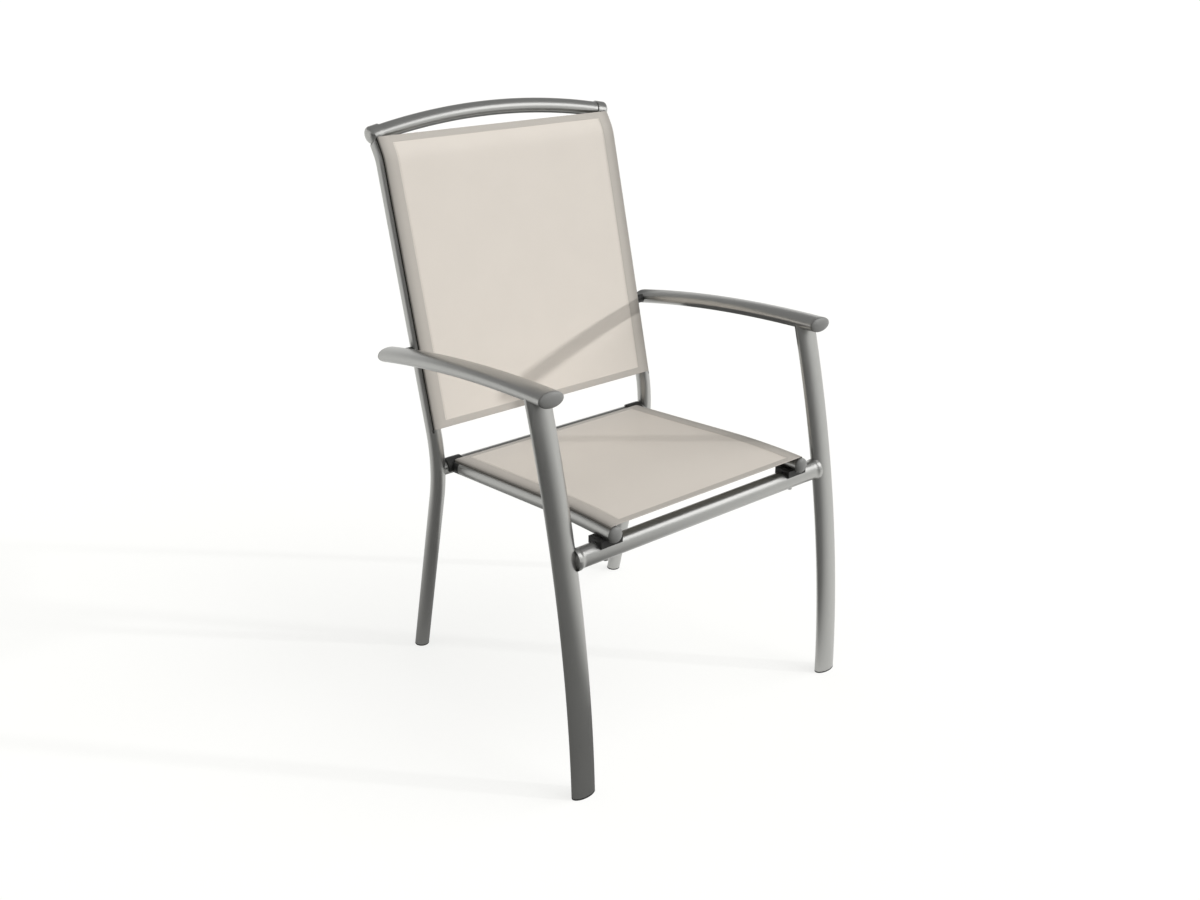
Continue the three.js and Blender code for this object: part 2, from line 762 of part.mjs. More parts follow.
const saddle = () => {
  const top = FRONT_BAR_Z + frontBarRadius;
  const middle = frontBarCentre.clone().setX(railX);
  const half = point(SADDLE_WIDTH / 2, SADDLE_LENGTH / 2, 0);
  return boxBetween(
    middle.clone().sub(half).setZ(top - SADDLE_SKIRT),
    middle.clone().add(half).setZ(top + SADDLE_WEB + SADDLE_CHEEK),
  )
    .subtract(aroundFrontBar)
    .subtract(aroundRail)
    .subtract(saddleScrewHole);
};

const topRailCap = () => {
  const length = topRailPath.length;
  const sleeve = topRailPath.stretch(length - TOP_CAP_SLEEVE, length);
  const pocket = topRailPath.stretch(
    length - TOP_CAP_SLEEVE - OVERRUN,
    length - TOP_CAP_FLOOR,
  );
  return sweep(ovalShape(topCapRadius, topCapRadius, TUBE_SIDES), sleeve)
    .add(domedEnd(endFrame(topRailPath), topCapRadius, topCapRadius, -SEAT_GAP, 0, TOP_CAP_DOME))
    .subtract(swelled(pocket, tubeRadius));
};

// The bolt and the screws pass beside the welt rods.
const weltRod = (path, from, to) =>
  sweep(weltRodShape, path.stretch(from, to))
    .subtract(aroundTopCaps)
    .subtract(armBoltHole)
    .subtract(rearScrewHole);

const sidePieces = {
  upright: [upright(), finishes.frame, topRailOverUpright],
  front_leg: [frontLeg(), finishes.frame, legFoot],
  armrest: [armrest(), finishes.frame, armPath.points[0]],
  arm_front_cap: [armCap(false), finishes.endCap, armPath.points[ARM_STEPS]],
  arm_rear_cap: [armCap(true), finishes.endCap, armPath.points[0]],
  arm_spacer: [armSpacer(), finishes.blackPlastic, armBoltCentre.clone().setX(armInnerX)],
  arm_bolt: [headedScrew(armBoltSeat, armBoltTip, armBoltRadius), finishes.steel, armBoltSeat],
  arm_nut: [armNut(), finishes.steel, armBoltTip],
  seat_rail: [seatRail(), finishes.frame, railStart.point],
  seat_rail_front_cap: [railFrontCap(), finishes.endCap, railPath.points[railPath.steps]],
  seat_rail_rear_plug: [railRearPlug(), finishes.blackPlastic, railStart.point],
  seat_rail_saddle: [saddle(), finishes.blackPlastic, frontBarCentre.clone().setX(railX)],
  saddle_screw: [
    headedScrew(saddleScrewSeat, saddleScrewTip, screwRadius),
    finishes.steel,
    saddleScrewSeat,
  ],
  rear_rail_screw: [
    headedScrew(rearScrewSeat, rearScrewTip, screwRadius),
    finishes.steel,
    rearScrewSeat,
  ],
  top_rail_cap: [topRailCap(), finishes.endCap, topRailPath.points[ARCH_STEPS]],
  front_foot: [
    footPlug({
      path: legToFloor,
      foot: legFoot,
      halfWidth: LEG_WIDTH / 2,
      halfDepth: LEG_DEPTH / 2,
      wall: LEG_WALL,
    }),
    finishes.blackPlastic,
    legFoot,
  ],
  rear_foot: [
    footPlug({
      path: uprightToFloor,
      foot: rearFoot,
      halfWidth: tubeRadius,
      halfDepth: tubeRadius,
      wall: TUBE_WALL,
    }),
    finishes.blackPlastic,
    rearFoot,
  ],
  back_welt_rod: [
    weltRod(uprightPath, BACK_SLING_TOP_SPACE, backSlingTo),
    finishes.weltRod,
    topRailOverUpright,
  ],
  seat_welt_rod: [
    weltRod(railPath, seatSlingFrom, seatSlingTo),
    finishes.weltRod,
    railStart.point,
  ],
};

// Pieces that reach across the chair

const topRail = () => {
  const inset = TOP_CAP_FLOOR + SEAT_GAP;
  return sweep(
    ringShape(tubeRadius, tubeRadius, TUBE_WALL),
    topRailPath.stretch(inset, topRailPath.length - inset),
  );
};

// A widened end of the front crossbar, from the plain tube to its full swell at the cut.
function barFlare(sign) {
  const outerX = legX - LEG_WIDTH / 2 + FRONT_BAR_HOLD;
  const geometry = new THREE.CylinderGeometry(
    frontBarRadius + FLARE_SWELL,
    frontBarRadius,
    FLARE_LENGTH,
    TUBE_SIDES,
  );
  return solidOf(
    geometry
      .rotateZ((-sign * Math.PI) / 2)
      .translate(sign * (outerX - FLARE_LENGTH / 2), frontBarCentre.y, FRONT_BAR_Z),
  );
}

const frontCrossbar = () => {
  const ends = across(frontBarCentre, legX - LEG_WIDTH / 2 + FRONT_BAR_HOLD);
  const boreEnds = across(frontBarCentre, legX);
  return rod(...ends, frontBarRadius, TUBE_SIDES)
    .add(barFlare(1))
    .add(barFlare(-1))
    .subtract(rod(...boreEnds, frontBarRadius - FRONT_BAR_WALL, BORE_SIDES))
    .subtract(aroundLeg)
    .subtract(mirrorSolid(aroundLeg))
    .subtract(saddleScrewHole)
    .subtract(mirrorSolid(saddleScrewHole));
};

const rearCrossbar = () =>
  rod(...across(rearBarCentre, uprightX), tubeRadius, TUBE_SIDES)
    .subtract(rod(...across(rearBarCentre, legX), boreRadius, BORE_SIDES))
    .subtract(aroundUpright)
    .subtract(mirrorSolid(aroundUpright))
    .subtract(rearScrewHole)
    .subtract(mirrorSolid(rearScrewHole));

const backSling = () =>
  sweep(slingShape(uprightX), backPath.stretch(BACK_SLING_TOP_SPACE, backSlingTo)).subtract(
    aroundTopCaps,
  );

const seatSling = () =>
  sweep(slingShape(railX), seatPath.stretch(seatSlingFrom, seatSlingTo));

const crossPieces = {
  top_rail: [topRail(), finishes.frame, topRailPath.pointWhere("x", 0)],
  front_crossbar: [frontCrossbar(), finishes.frame, frontBarCentre],
  rear_crossbar: [rearCrossbar(), finishes.frame, rearBarCentre],
  back_sling: [backSling(), finishes.mesh, backPath.at(backSlingTo).point],
  seat_sling: [seatSling(), finishes.mesh, seatPath.at(seatSlingTo).point],
};

// The chair

// Each mesh has its own origin where its piece is fixed or stands.
function addPieces(parent, pieces, prefix = "") {
  Object.entries(pieces).forEach(([name, [solid, finish, origin]]) => {
    const geometry = geometryOf(solid).translate(-origin.x, -origin.y, -origin.z);
    const mesh = new THREE.Mesh(geometry, finish());
    mesh.name = prefix + name;
    mesh.position.copy(origin);
    parent.add(mesh);
  });
}

const chair = new THREE.Group();
addPieces(chair, crossPieces);

const rightSide = new THREE.Group();
addPieces(rightSide, sidePieces, "right_");
chair.add(rightSide);

const leftSide = new THREE.Group();
addPieces(leftSide, sidePieces, "left_");
leftSide.scale.x = -1;
chair.add(leftSide);

export default chair;
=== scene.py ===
"""Dresses the frame of a stackable sling patio chair: tubes, moulded ends and woven slings.

Run as a script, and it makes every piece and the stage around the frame.
Metres, +Z up. The chair faces -Y, and left and right are as seen from in front of it.
"""

import bpy
import numpy as np
from bpy.props import FloatProperty, FloatVectorProperty, IntProperty, PointerProperty
from bpy.types import NodeSocket, Operator, Panel, PropertyGroup
from mathutils import Euler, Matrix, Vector


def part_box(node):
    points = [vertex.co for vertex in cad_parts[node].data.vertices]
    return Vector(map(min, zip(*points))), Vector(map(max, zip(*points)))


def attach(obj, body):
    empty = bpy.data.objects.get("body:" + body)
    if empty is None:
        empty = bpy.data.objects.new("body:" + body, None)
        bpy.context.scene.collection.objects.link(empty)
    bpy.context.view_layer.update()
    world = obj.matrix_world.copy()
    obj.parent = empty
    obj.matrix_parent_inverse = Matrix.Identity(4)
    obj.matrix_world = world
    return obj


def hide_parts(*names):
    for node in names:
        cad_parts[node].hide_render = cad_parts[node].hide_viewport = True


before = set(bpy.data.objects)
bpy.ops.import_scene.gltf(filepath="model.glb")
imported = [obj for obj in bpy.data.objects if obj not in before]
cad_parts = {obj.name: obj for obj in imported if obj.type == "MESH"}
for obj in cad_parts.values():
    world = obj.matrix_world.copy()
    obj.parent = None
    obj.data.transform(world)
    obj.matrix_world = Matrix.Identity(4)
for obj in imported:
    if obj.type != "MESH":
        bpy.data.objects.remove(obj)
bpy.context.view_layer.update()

bl_info = {
    "name": "Sling patio chair",
    "version": (1, 0, 0),
    "blender": (4, 5, 0),
    "location": "View3D > Sidebar > Sling Chair",
    "description": "Makes the tubes, moulded ends, slings and stage of a sling patio chair",
    "category": "Object",
}

# Sizes and places that the frame gives


def box(node):
    """The lowest and highest corner of a node, as arrays."""
    low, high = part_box(node)
    return np.array(low), np.array(high)


def middle(node):
    low, high = box(node)
    return (low + high) / 2


def extent(node):
    low, high = box(node)
    return high - low


TUBE_RADIUS = extent("right_upright")[0] / 2
UPRIGHT_X = middle("right_upright")[0]
RAIL_X = middle("right_seat_rail")[0]
ARM_X = middle("right_armrest")[0]
ARM_HALF_WIDTH = extent("right_armrest")[0] / 2
LEG_HALF_WIDTH = extent("right_front_leg")[0] / 2
REAR_BAR = middle("rear_crossbar") * (0, 1, 1)

# Driving sizes of the paths, chosen as those of the frame

SEAT_GAP = 0.0003
REAR_FOOT = (0.0, 0.2355, 0.0)
KNEE = (0.0, 0.1398, 0.3838)
KNEE_RADIUS = 0.250
TOP_RAIL_END = (0.2417, 0.2812, 0.9037)
TOP_RAIL_RISE = 0.0251
TOP_RAIL_LEAN = np.radians(16.2)
CROWN = (0.0, TOP_RAIL_END[1] - 0.0214, TOP_RAIL_END[2] - 0.0327)
CROWN_RADIUS = 0.060
TOP_CAP_SLEEVE = 0.023
TOP_CAP_RADIUS = 0.0144
ARM_REAR = (0.2030, 0.5714)
ARM_FRONT = (-0.2245, 0.6164)
ARM_BOW = 0.009
ARM_HALF_DEPTH = 0.012
FRONT_FOOT_Y = -0.2901
LEG_TOP_Y = -0.1921
LEG_BOW = 0.0205
LEG_HALF_DEPTH = 0.01055
FRONT_BAR_Z = 0.376
FRONT_BAR_RADIUS = 0.01575
RAIL_RISE = 0.01375  # from the top of the front crossbar to the rail's axis
RAIL_FRONT_REACH = 0.0202
RAIL_BEND_SETBACK = 0.0668
RAIL_NOSE = 0.0096
RAIL_PLUG_LENGTH = 0.017
SLING_BOTTOM_RISE = 0.0697
SLING_TOP_SPACE = 0.010
SEAT_SLING_REAR_SPACE = 0.0005
SEAT_SLING_FRONT_SPACE = 0.0015
CHANNEL_RUNOUT = 0.005
CHANNEL_OFFSET = 0.0073
CHANNEL_RADIUS = 0.0034
CHANNEL_WALL = 0.0012
SLOT_HALF_WIDTH = 0.0016
SLOT_TURN = np.radians(32)

# Fineness and small shares that several pieces use

ROUND_COUNT = 72
SLOT_COUNT = 40
RING_STEP = 0.006
END_LENGTH = 0.001  # the last ring of a tube before its cut end
POLE_RADIUS = 0.0002  # the ring under a fan that closes a shape
POLE_SHARE = 0.001  # the same ring, as a share of its dome
SHOULDER = 0.985  # a cap's rim beside its tube, as a share of the tube
LIP_POWER = 0.8  # below 1, so that the lip turns steeply into the slot
HEM_SWELL = 0.75  # how much thicker a hem is than one layer of cloth

PAPER_WHITE = (1.0, 1.0, 0.985, 1.0)
ACROSS = np.array([1.0, 0.0, 0.0])
UP = np.array([0.0, 0.0, 1.0])


# Paths


def unit(vectors):
    return vectors / np.linalg.norm(vectors, axis=-1, keepdims=True)


class Path:
    """Close stations along a line. A section's x is the side vector, its y direction x side."""

    def __init__(self, places, directions, side=ACROSS):
        self.places, self.directions, self.side = places, directions, side
        steps = np.linalg.norm(np.diff(places, axis=0), axis=1)
        self.marks = np.concatenate([[0.0], np.cumsum(steps)])

    @property
    def length(self):
        return self.marks[-1]

    def at(self, marks):
        """Places and directions at distances along the path, straight on past its ends."""
        inside = np.clip(marks, 0, self.length)
        places, directions = (
            np.stack([np.interp(inside, self.marks, column) for column in table.T], axis=-1)
            for table in (self.places, self.directions)
        )
        directions = unit(directions)
        return places + directions * np.asarray(marks - inside)[..., None], directions

    def mark_where(self, axis, value):
        """The distance at which one coordinate has a value."""
        off = self.places[:, axis] - value
        i = np.flatnonzero(off[:-1] * off[1:] <= 0)[0]
        share = off[i] / (off[i] - off[i + 1])
        return self.marks[i] + share * (self.marks[i + 1] - self.marks[i])

    def moved_across(self, x):
        return Path(self.places + ACROSS * x, self.directions, self.side)


def bent_path(corners, radii, count=48):
    """Straight runs joined by arcs: start + r sin(t) before + r (1 - cos(t)) inward."""
    corners = np.array(corners, float)
    runs = unit(np.diff(corners, axis=0))
    places, directions = [corners[:1]], [runs[:1]]
    for corner, before, after, radius in zip(corners[1:], runs, runs[1:], radii):
        turn = np.arccos(before @ after)
        inward = unit(after - before * np.cos(turn))
        t = np.linspace(0, turn, count)[:, None]
        start = corner - before * radius * np.tan(turn / 2)
        places.append(start + radius * (np.sin(t) * before + (1 - np.cos(t)) * inward))
        directions.append(np.cos(t) * before + np.sin(t) * inward)
    places.append(corners[-1:])
    directions.append(runs[-1:])
    return Path(np.concatenate(places), np.concatenate(directions))


def arch_path(start, end, rise, towards, side=ACROSS, count=96):
    """One arc over a chord: centre + r sin(t) along + r cos(t) lift."""
    start, end = np.array(start, float), np.array(end, float)
    half = np.linalg.norm(end - start) / 2
    along = (end - start) / (2 * half)
    lift = unit(towards - along * (along @ towards))
    radius = (half**2 + rise**2) / (2 * rise)
    t = (np.linspace(-1, 1, count) * np.arcsin(half / radius))[:, None]
    centre = (start + end) / 2 + lift * (rise - radius)
    places = centre + radius * (np.sin(t) * along + np.cos(t) * lift)
    return Path(places, np.cos(t) * along - np.sin(t) * lift, side)


# The middle lines of the tubes. Those in the middle plane are moved across to each tube's x.

TOP_RAIL_PATH = arch_path(
    TOP_RAIL_END * np.array([-1, 1, 1]),
    TOP_RAIL_END,
    TOP_RAIL_RISE,
    np.array([0, np.sin(TOP_RAIL_LEAN), np.cos(TOP_RAIL_LEAN)]),
    np.array([0, np.cos(TOP_RAIL_LEAN), -np.sin(TOP_RAIL_LEAN)]),
)
OVER_UPRIGHT = TOP_RAIL_PATH.at(TOP_RAIL_PATH.mark_where(0, UPRIGHT_X))
BACK_PATH = bent_path(
    [OVER_UPRIGHT[0] * (0, 1, 1), CROWN, KNEE, REAR_FOOT], [CROWN_RADIUS, KNEE_RADIUS]
)
ARM_PATH = arch_path((ARM_X, *ARM_REAR), (ARM_X, *ARM_FRONT), ARM_BOW, UP)
LEG_TOP = ARM_PATH.at(ARM_PATH.mark_where(1, LEG_TOP_Y))
LEG_PATH = arch_path((ARM_X, FRONT_FOOT_Y, 0), LEG_TOP[0], LEG_BOW, np.array([0.0, -1.0, 0.0]))
FRONT_BAR = LEG_PATH.at(LEG_PATH.mark_where(2, FRONT_BAR_Z))
FRONT_BAR_Y = FRONT_BAR[0][1]
RAIL_Z = FRONT_BAR_Z + FRONT_BAR_RADIUS + RAIL_RISE
RAIL_CORNER = np.array([0, FRONT_BAR_Y + RAIL_BEND_SETBACK, RAIL_Z])
RAIL_DIP = np.arccos(unit(RAIL_CORNER - REAR_BAR)[1] * -1)
RAIL_BEND_RADIUS = (RAIL_BEND_SETBACK + RAIL_FRONT_REACH - RAIL_NOSE) / np.tan(RAIL_DIP / 2)
SEAT_PATH = bent_path(
    [REAR_BAR, RAIL_CORNER, (0, FRONT_BAR_Y - RAIL_FRONT_REACH, RAIL_Z)], [RAIL_BEND_RADIUS]
)
BACK_SLING_END = BACK_PATH.mark_where(2, REAR_BAR[2] + SLING_BOTTOM_RISE)


# Sections and surfaces


def polar(radius, turn):
    """Section places at a turn from the section's y towards its x."""
    return np.stack([radius * np.sin(turn), radius * np.cos(turn)], axis=-1)


def oval(half_width, half_depth, count=ROUND_COUNT):
    turn = np.linspace(0, 2 * np.pi, count, endpoint=False)
    return polar(1.0, turn) * (half_width, half_depth)


def tube_walls(half_width, half_depth, wall):
    return oval(half_width, half_depth), oval(half_width - wall, half_depth - wall)


def slot_places(out, aside):
    """Section places by their distance out through the slot and to one side of it."""
    out, aside = np.broadcast_arrays(out, aside)
    sine, cosine = np.sin(SLOT_TURN), np.cos(SLOT_TURN)
    return np.stack([out * sine + aside * cosine, out * cosine - aside * sine], axis=-1)


def slotted_loops(radius, wall, lip_turn, lip_depth):
    """The outer and inner loop of a tube's wall with the sling channel in it, and without it.

    The outer loop runs round the tube, over a lip, down the slot, round the bore and out again.
    """

    def round_channel(size, begin, count):
        turn = np.linspace(-begin, begin - 2 * np.pi, count)
        return slot_places(CHANNEL_OFFSET + size * np.cos(turn), size * np.sin(turn))

    def with_and_without(size, half_turn, slot):
        low, high = SLOT_TURN - half_turn, SLOT_TURN + half_turn
        around = polar(size, np.linspace(high, low + 2 * np.pi, ROUND_COUNT)[1:-1])
        over = polar(size, np.linspace(low, high, SLOT_COUNT))
        return [np.concatenate([around, across]) for across in (slot, over)]

    mouth = np.arcsin(SLOT_HALF_WIDTH / (radius - lip_depth))
    lip = np.linspace(0, 1, SLOT_COUNT // 5)
    drop = radius - lip_depth * (1 - np.cos(lip * np.pi / 2) ** LIP_POWER)
    aside = lip_turn - lip * (lip_turn - mouth)
    start = np.arcsin(SLOT_HALF_WIDTH / CHANNEL_RADIUS)
    bore = round_channel(CHANNEL_RADIUS, start, SLOT_COUNT - 2 * len(lip))
    near_lip, far_lip = polar(drop, SLOT_TURN - aside), polar(drop, SLOT_TURN + aside)[::-1]
    outer = with_and_without(radius, lip_turn, np.concatenate([near_lip, bore, far_lip]))

    inner, shell_radius = radius - wall, CHANNEL_RADIUS + CHANNEL_WALL
    cosine = (inner**2 + CHANNEL_OFFSET**2 - shell_radius**2) / (2 * inner * CHANNEL_OFFSET)
    meet = np.arccos(cosine)
    begin = np.arctan2(inner * np.sin(meet), inner * cosine - CHANNEL_OFFSET)
    inside = with_and_without(inner, meet, round_channel(shell_radius, begin, SLOT_COUNT))
    return outer[0], inside[0], outer[1], inside[1]


def sweep(path, marks, section):
    """A grid of place + x side + y up: a row for each mark, a column for each section place."""
    places, directions = path.at(np.asarray(marks, float))
    ups = np.cross(directions, path.side)
    section = np.broadcast_to(section, (len(places), *np.shape(section)[-2:]))
    return places[:, None] + section[..., :1] * path.side + section[..., 1:] * ups[:, None]


def slid(row, direction, distance):
    """A row of places moved along one direction by their own distances."""
    return row + direction * distance[..., None]


def to_height(row, direction, height):
    """The places slid along the direction to one height."""
    return slid(row, direction, (height - row[..., 2]) / direction[2])


def to_oval(row, direction, centre, across, half_width, half_depth, axis):
    """How far each place slides along the direction to the near side of an oval tube.

    Across and depth are measured in half widths, so that the oval is a unit circle: |w + s d| = 1.
    """
    depth = np.cross(axis, across)
    frame_of = np.stack([across / half_width, depth / half_depth])
    w, d = (row - centre) @ frame_of.T, frame_of @ direction
    a, b, c = d @ d, w @ d, (w * w).sum(-1) - 1
    room = b * b - a * c
    return np.where(room > 0, (-b - np.sqrt(np.maximum(room, 0))) / a, np.inf)


def spaced(start, end, step):
    return np.linspace(start, end, max(2, int(np.ceil(abs(end - start) / step)) + 1))


def volume(corners):
    """Six times the volume between faces and origin: the sum of first . (second x third)."""
    return np.einsum("ij,ikj->", corners[:, 0], np.cross(corners[:, 1:-1], corners[:, 2:]))


def new_object(name, places, faces, material):
    mesh = bpy.data.meshes.new(name)
    mesh.from_pydata(places.tolist(), [], faces)
    mesh.materials.append(material)
    made = bpy.data.objects.new(name, mesh)
    bpy.context.scene.collection.objects.link(made)
    return made


class Shape:
    """Closed surfaces gathered into one mesh."""

    def __init__(self):
        self.places, self.faces, self.maps, self.count = [], [], [], 0

    def add(self, places, faces, marks=None):
        """Adds a closed surface, turned to face outwards by the sign of its volume."""
        places = places.reshape(-1, 3)
        inside_out = sum(volume(places[table]) for table in faces) < 0
        for table in faces:
            self.faces.append((table[:, ::-1] if inside_out else table) + self.count)
        self.places.append(places)
        self.maps.append(np.zeros((len(places), 3)) if marks is None else marks.reshape(-1, 3))
        self.count += len(places)
        return self

    def ring(self, grid):
        """A grid that closes on itself both ways, such as a pipe's outer and inner wall."""
        return self.add(grid, [quads(*grid.shape[:2], True, True)])

    def capped(self, grid):
        """A grid that closes round, with a fan to the middle of its first and last row."""
        rows, columns = grid.shape[:2]
        places = np.concatenate([grid.reshape(-1, 3), grid[:1].mean(1), grid[-1:].mean(1)])
        around = np.arange(columns)
        after, last = np.roll(around, -1), (rows - 1) * columns
        fans = (
            np.stack([one, other, np.full(columns, rows * columns + end)], axis=-1)
            for end, (one, other) in enumerate(((after, around), (last + around, last + after)))
        )
        return self.add(places, [quads(rows, columns, False, True), *fans])

    def mirrored(self):
        """The same surfaces on the other side of the chair."""
        other = Shape()
        other.places = [p * (-1, 1, 1) for p in self.places]
        other.faces = [f[:, ::-1] for f in self.faces]
        other.count = self.count
        return other

    def object(self, name, finish, crease=np.radians(40), mapped=False):
        faces = [face for table in self.faces for face in table.tolist()]
        made = new_object(name, np.concatenate(self.places), faces, finish)
        mesh = made.data
        mesh.shade_smooth()
        mesh.set_sharp_from_angle(angle=crease)
        if mapped:
            maps = np.concatenate(self.maps)
            corners = np.zeros(len(mesh.loops), np.int32)
            mesh.loops.foreach_get("vertex_index", corners)
            layer = mesh.uv_layers.new(name="weave")
            layer.data.foreach_set("uv", maps[corners, :2].ravel())
            doubled = mesh.attributes.new("doubled", "FLOAT", "POINT")
            doubled.data.foreach_set("value", maps[:, 2].astype(np.float32))
        return made


def quads(rows, columns, close_rows, close_columns):
    """Corner numbers of the faces of a grid, counted row by row."""
    r = np.arange(rows if close_rows else rows - 1)[:, None]
    c = np.arange(columns if close_columns else columns - 1)[None]
    below, right = (r + 1) % rows, (c + 1) % columns
    table = np.stack(
        [r * columns + c, r * columns + right, below * columns + right, below * columns + c], -1
    )
    return table.reshape(-1, 4)


def single(shape, name, finish, slot, *nodes, **look):
    """A piece that rides on the frame and stands for the nodes, which it hides. Its slot is not
    used.
    """
    piece = shape.object(name, finishes[finish], **look)
    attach(piece, "root")
    if nodes:
        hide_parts(*nodes)
    return piece


def pair(shape, name, finish, slot, *nodes):
    """The piece of the right side and its mirror image on the left."""
    for side, half in (("right_", shape), ("left_", shape.mirrored())):
        single(half, side + name, finish, slot, *(side + node for node in nodes))


# Materials


class Nodes:
    """Short ways to add nodes to a tree."""

    def __init__(self, tree):
        self.tree = tree

    def node(self, kind, links=(), output=0, **settings):
        """An output of a new node whose inputs are fed by other outputs or by values."""
        made = self.tree.nodes.new("ShaderNode" + kind)
        for key, value in settings.items():
            setattr(made, key, value)
        for socket, source in dict(links).items():
            if isinstance(source, NodeSocket):
                self.tree.links.new(source, made.inputs[socket])
            else:
                made.inputs[socket].default_value = source
        return made.outputs[output]

    def math(self, operation, *values):
        return self.node("Math", enumerate(values), operation=operation)

    def plus(self, first, second):
        return self.math("ADD", first, second)

    def minus(self, first, second):
        return self.math("SUBTRACT", first, second)

    def times(self, first, second):
        return self.math("MULTIPLY", first, second)

    def larger(self, first, second):
        return self.math("MAXIMUM", first, second)

    def parts(self, vector):
        """The x and y of a vector."""
        return self.node("SeparateXYZ", {0: vector}).node.outputs[:2]

    def noise(self, place, scale, detail=3.0, roughness=0.55):
        links = {"Vector": place, "Scale": scale, "Detail": detail, "Roughness": roughness}
        return self.node("TexNoise", links)

    def ramp(self, value, low, high, start, end):
        """The value's stretch from low to high laid on start to end."""
        return self.node("MapRange", {0: value, 1: low, 2: high, 3: start, 4: end})

    def spread(self, noise, start, end):
        """The stretch in which most of a noise lies, laid on start to end."""
        return self.ramp(noise, 0.3, 0.7, start, end)

    def mix(self, share, first, second):
        return self.node("Mix", {0: share, 6: first, 7: second}, output=2, data_type="RGBA")

    def seen_directly(self):
        """1 for camera, glossy and transmission rays, and 0 for light that falls on the chair."""
        path = self.node("LightPath").node.outputs
        seen = self.larger(path["Is Camera Ray"], path["Is Glossy Ray"])
        return self.larger(seen, path["Is Transmission Ray"])


class Finish(Nodes):
    """A material whose shader its nodes feed."""

    def __init__(self, name, **values):
        self.material = bpy.data.materials.new(name)
        self.material.use_nodes = True
        super().__init__(self.material.node_tree)
        self.shader = self.tree.nodes["Principled BSDF"]
        for socket, value in values.items():
            self.shader.inputs[socket.replace("_", " ")].default_value = value

    def bump(self, height, strength, distance):
        links = {"Height": height, "Strength": strength, "Distance": distance}
        self.join("Normal", self.node("Bump", links))

    def join(self, socket, source):
        self.tree.links.new(source, self.shader.inputs[socket])

    @property
    def place(self):
        return self.node("TexCoord", output="Object")


def rgba(colour, share=1.0):
    return (*(c * share for c in colour), 1.0)


def coated_metal(chair):
    """Satin silver grey coating: fine orange peel, faint clouding and a few dull rub marks."""
    colour = tuple(chair.metal_colour)
    finish = Finish("Satin coated aluminium", Metallic=0.95)
    place = finish.place
    cloud = finish.noise(place, scale=9.0, detail=4.0)
    drawn = finish.node("Mapping", {"Vector": place, "Scale": (60, 60, 14)})
    rubs = finish.noise(drawn, scale=3.0, detail=5.0)
    rubbed = finish.ramp(rubs, 0.62, 0.74, 0.0, 1.0)
    shade = finish.mix(cloud, rgba(colour, 0.93), rgba(colour, 1.06))
    finish.join("Base Color", finish.mix(finish.times(rubbed, 0.2), shade, rgba(colour, 1.3)))
    grain = finish.noise(place, scale=1600.0, detail=2.0)
    dull = finish.plus(finish.spread(cloud, 0.0, 0.05), chair.metal_roughness)
    speckled = finish.plus(dull, finish.spread(grain, -0.03, 0.03))
    finish.join("Roughness", finish.plus(speckled, finish.times(rubbed, 0.06)))
    finish.bump(grain, strength=0.12, distance=0.0002)
    return finish.material


def moulded(name, colour, roughness, grain_scale=2400.0):
    """Moulded plastic with a fine eroded grain and slightly worn high spots."""
    finish = Finish(name, Specular_IOR_Level=0.5)
    place = finish.place
    grain = finish.noise(place, grain_scale)
    wear = finish.ramp(finish.noise(place, scale=45.0, detail=4.0), 0.55, 0.75, 0.0, 1.0)
    mottle = finish.spread(grain, 0.0, 1.0)
    base = finish.mix(mottle, rgba(colour, 0.92), rgba(colour, 1.08))
    worn = finish.mix(finish.times(wear, 0.25), base, rgba(colour, 1.25))
    finish.join("Base Color", worn)
    finish.join("Roughness", finish.ramp(grain, 0.2, 0.8, roughness - 0.06, roughness + 0.08))
    finish.bump(grain, strength=0.25, distance=0.0002)
    return finish.material


def turned_steel():
    """Stainless screw heads with fine turning marks and slight blotches."""
    finish = Finish("Turned stainless steel", Metallic=1.0)
    place = finish.place
    turned = finish.node("Mapping", {"Vector": place, "Scale": (1, 1, 12)})
    marks = finish.noise(turned, scale=900.0, detail=2.0)
    blotch = finish.noise(place, scale=120.0)
    finish.join("Base Color", finish.mix(blotch, (0.5, 0.5, 0.49, 1), (0.66, 0.66, 0.65, 1)))
    finish.join("Roughness", finish.spread(marks, 0.22, 0.4))
    finish.bump(marks, strength=0.15, distance=0.0001)
    return finish.material


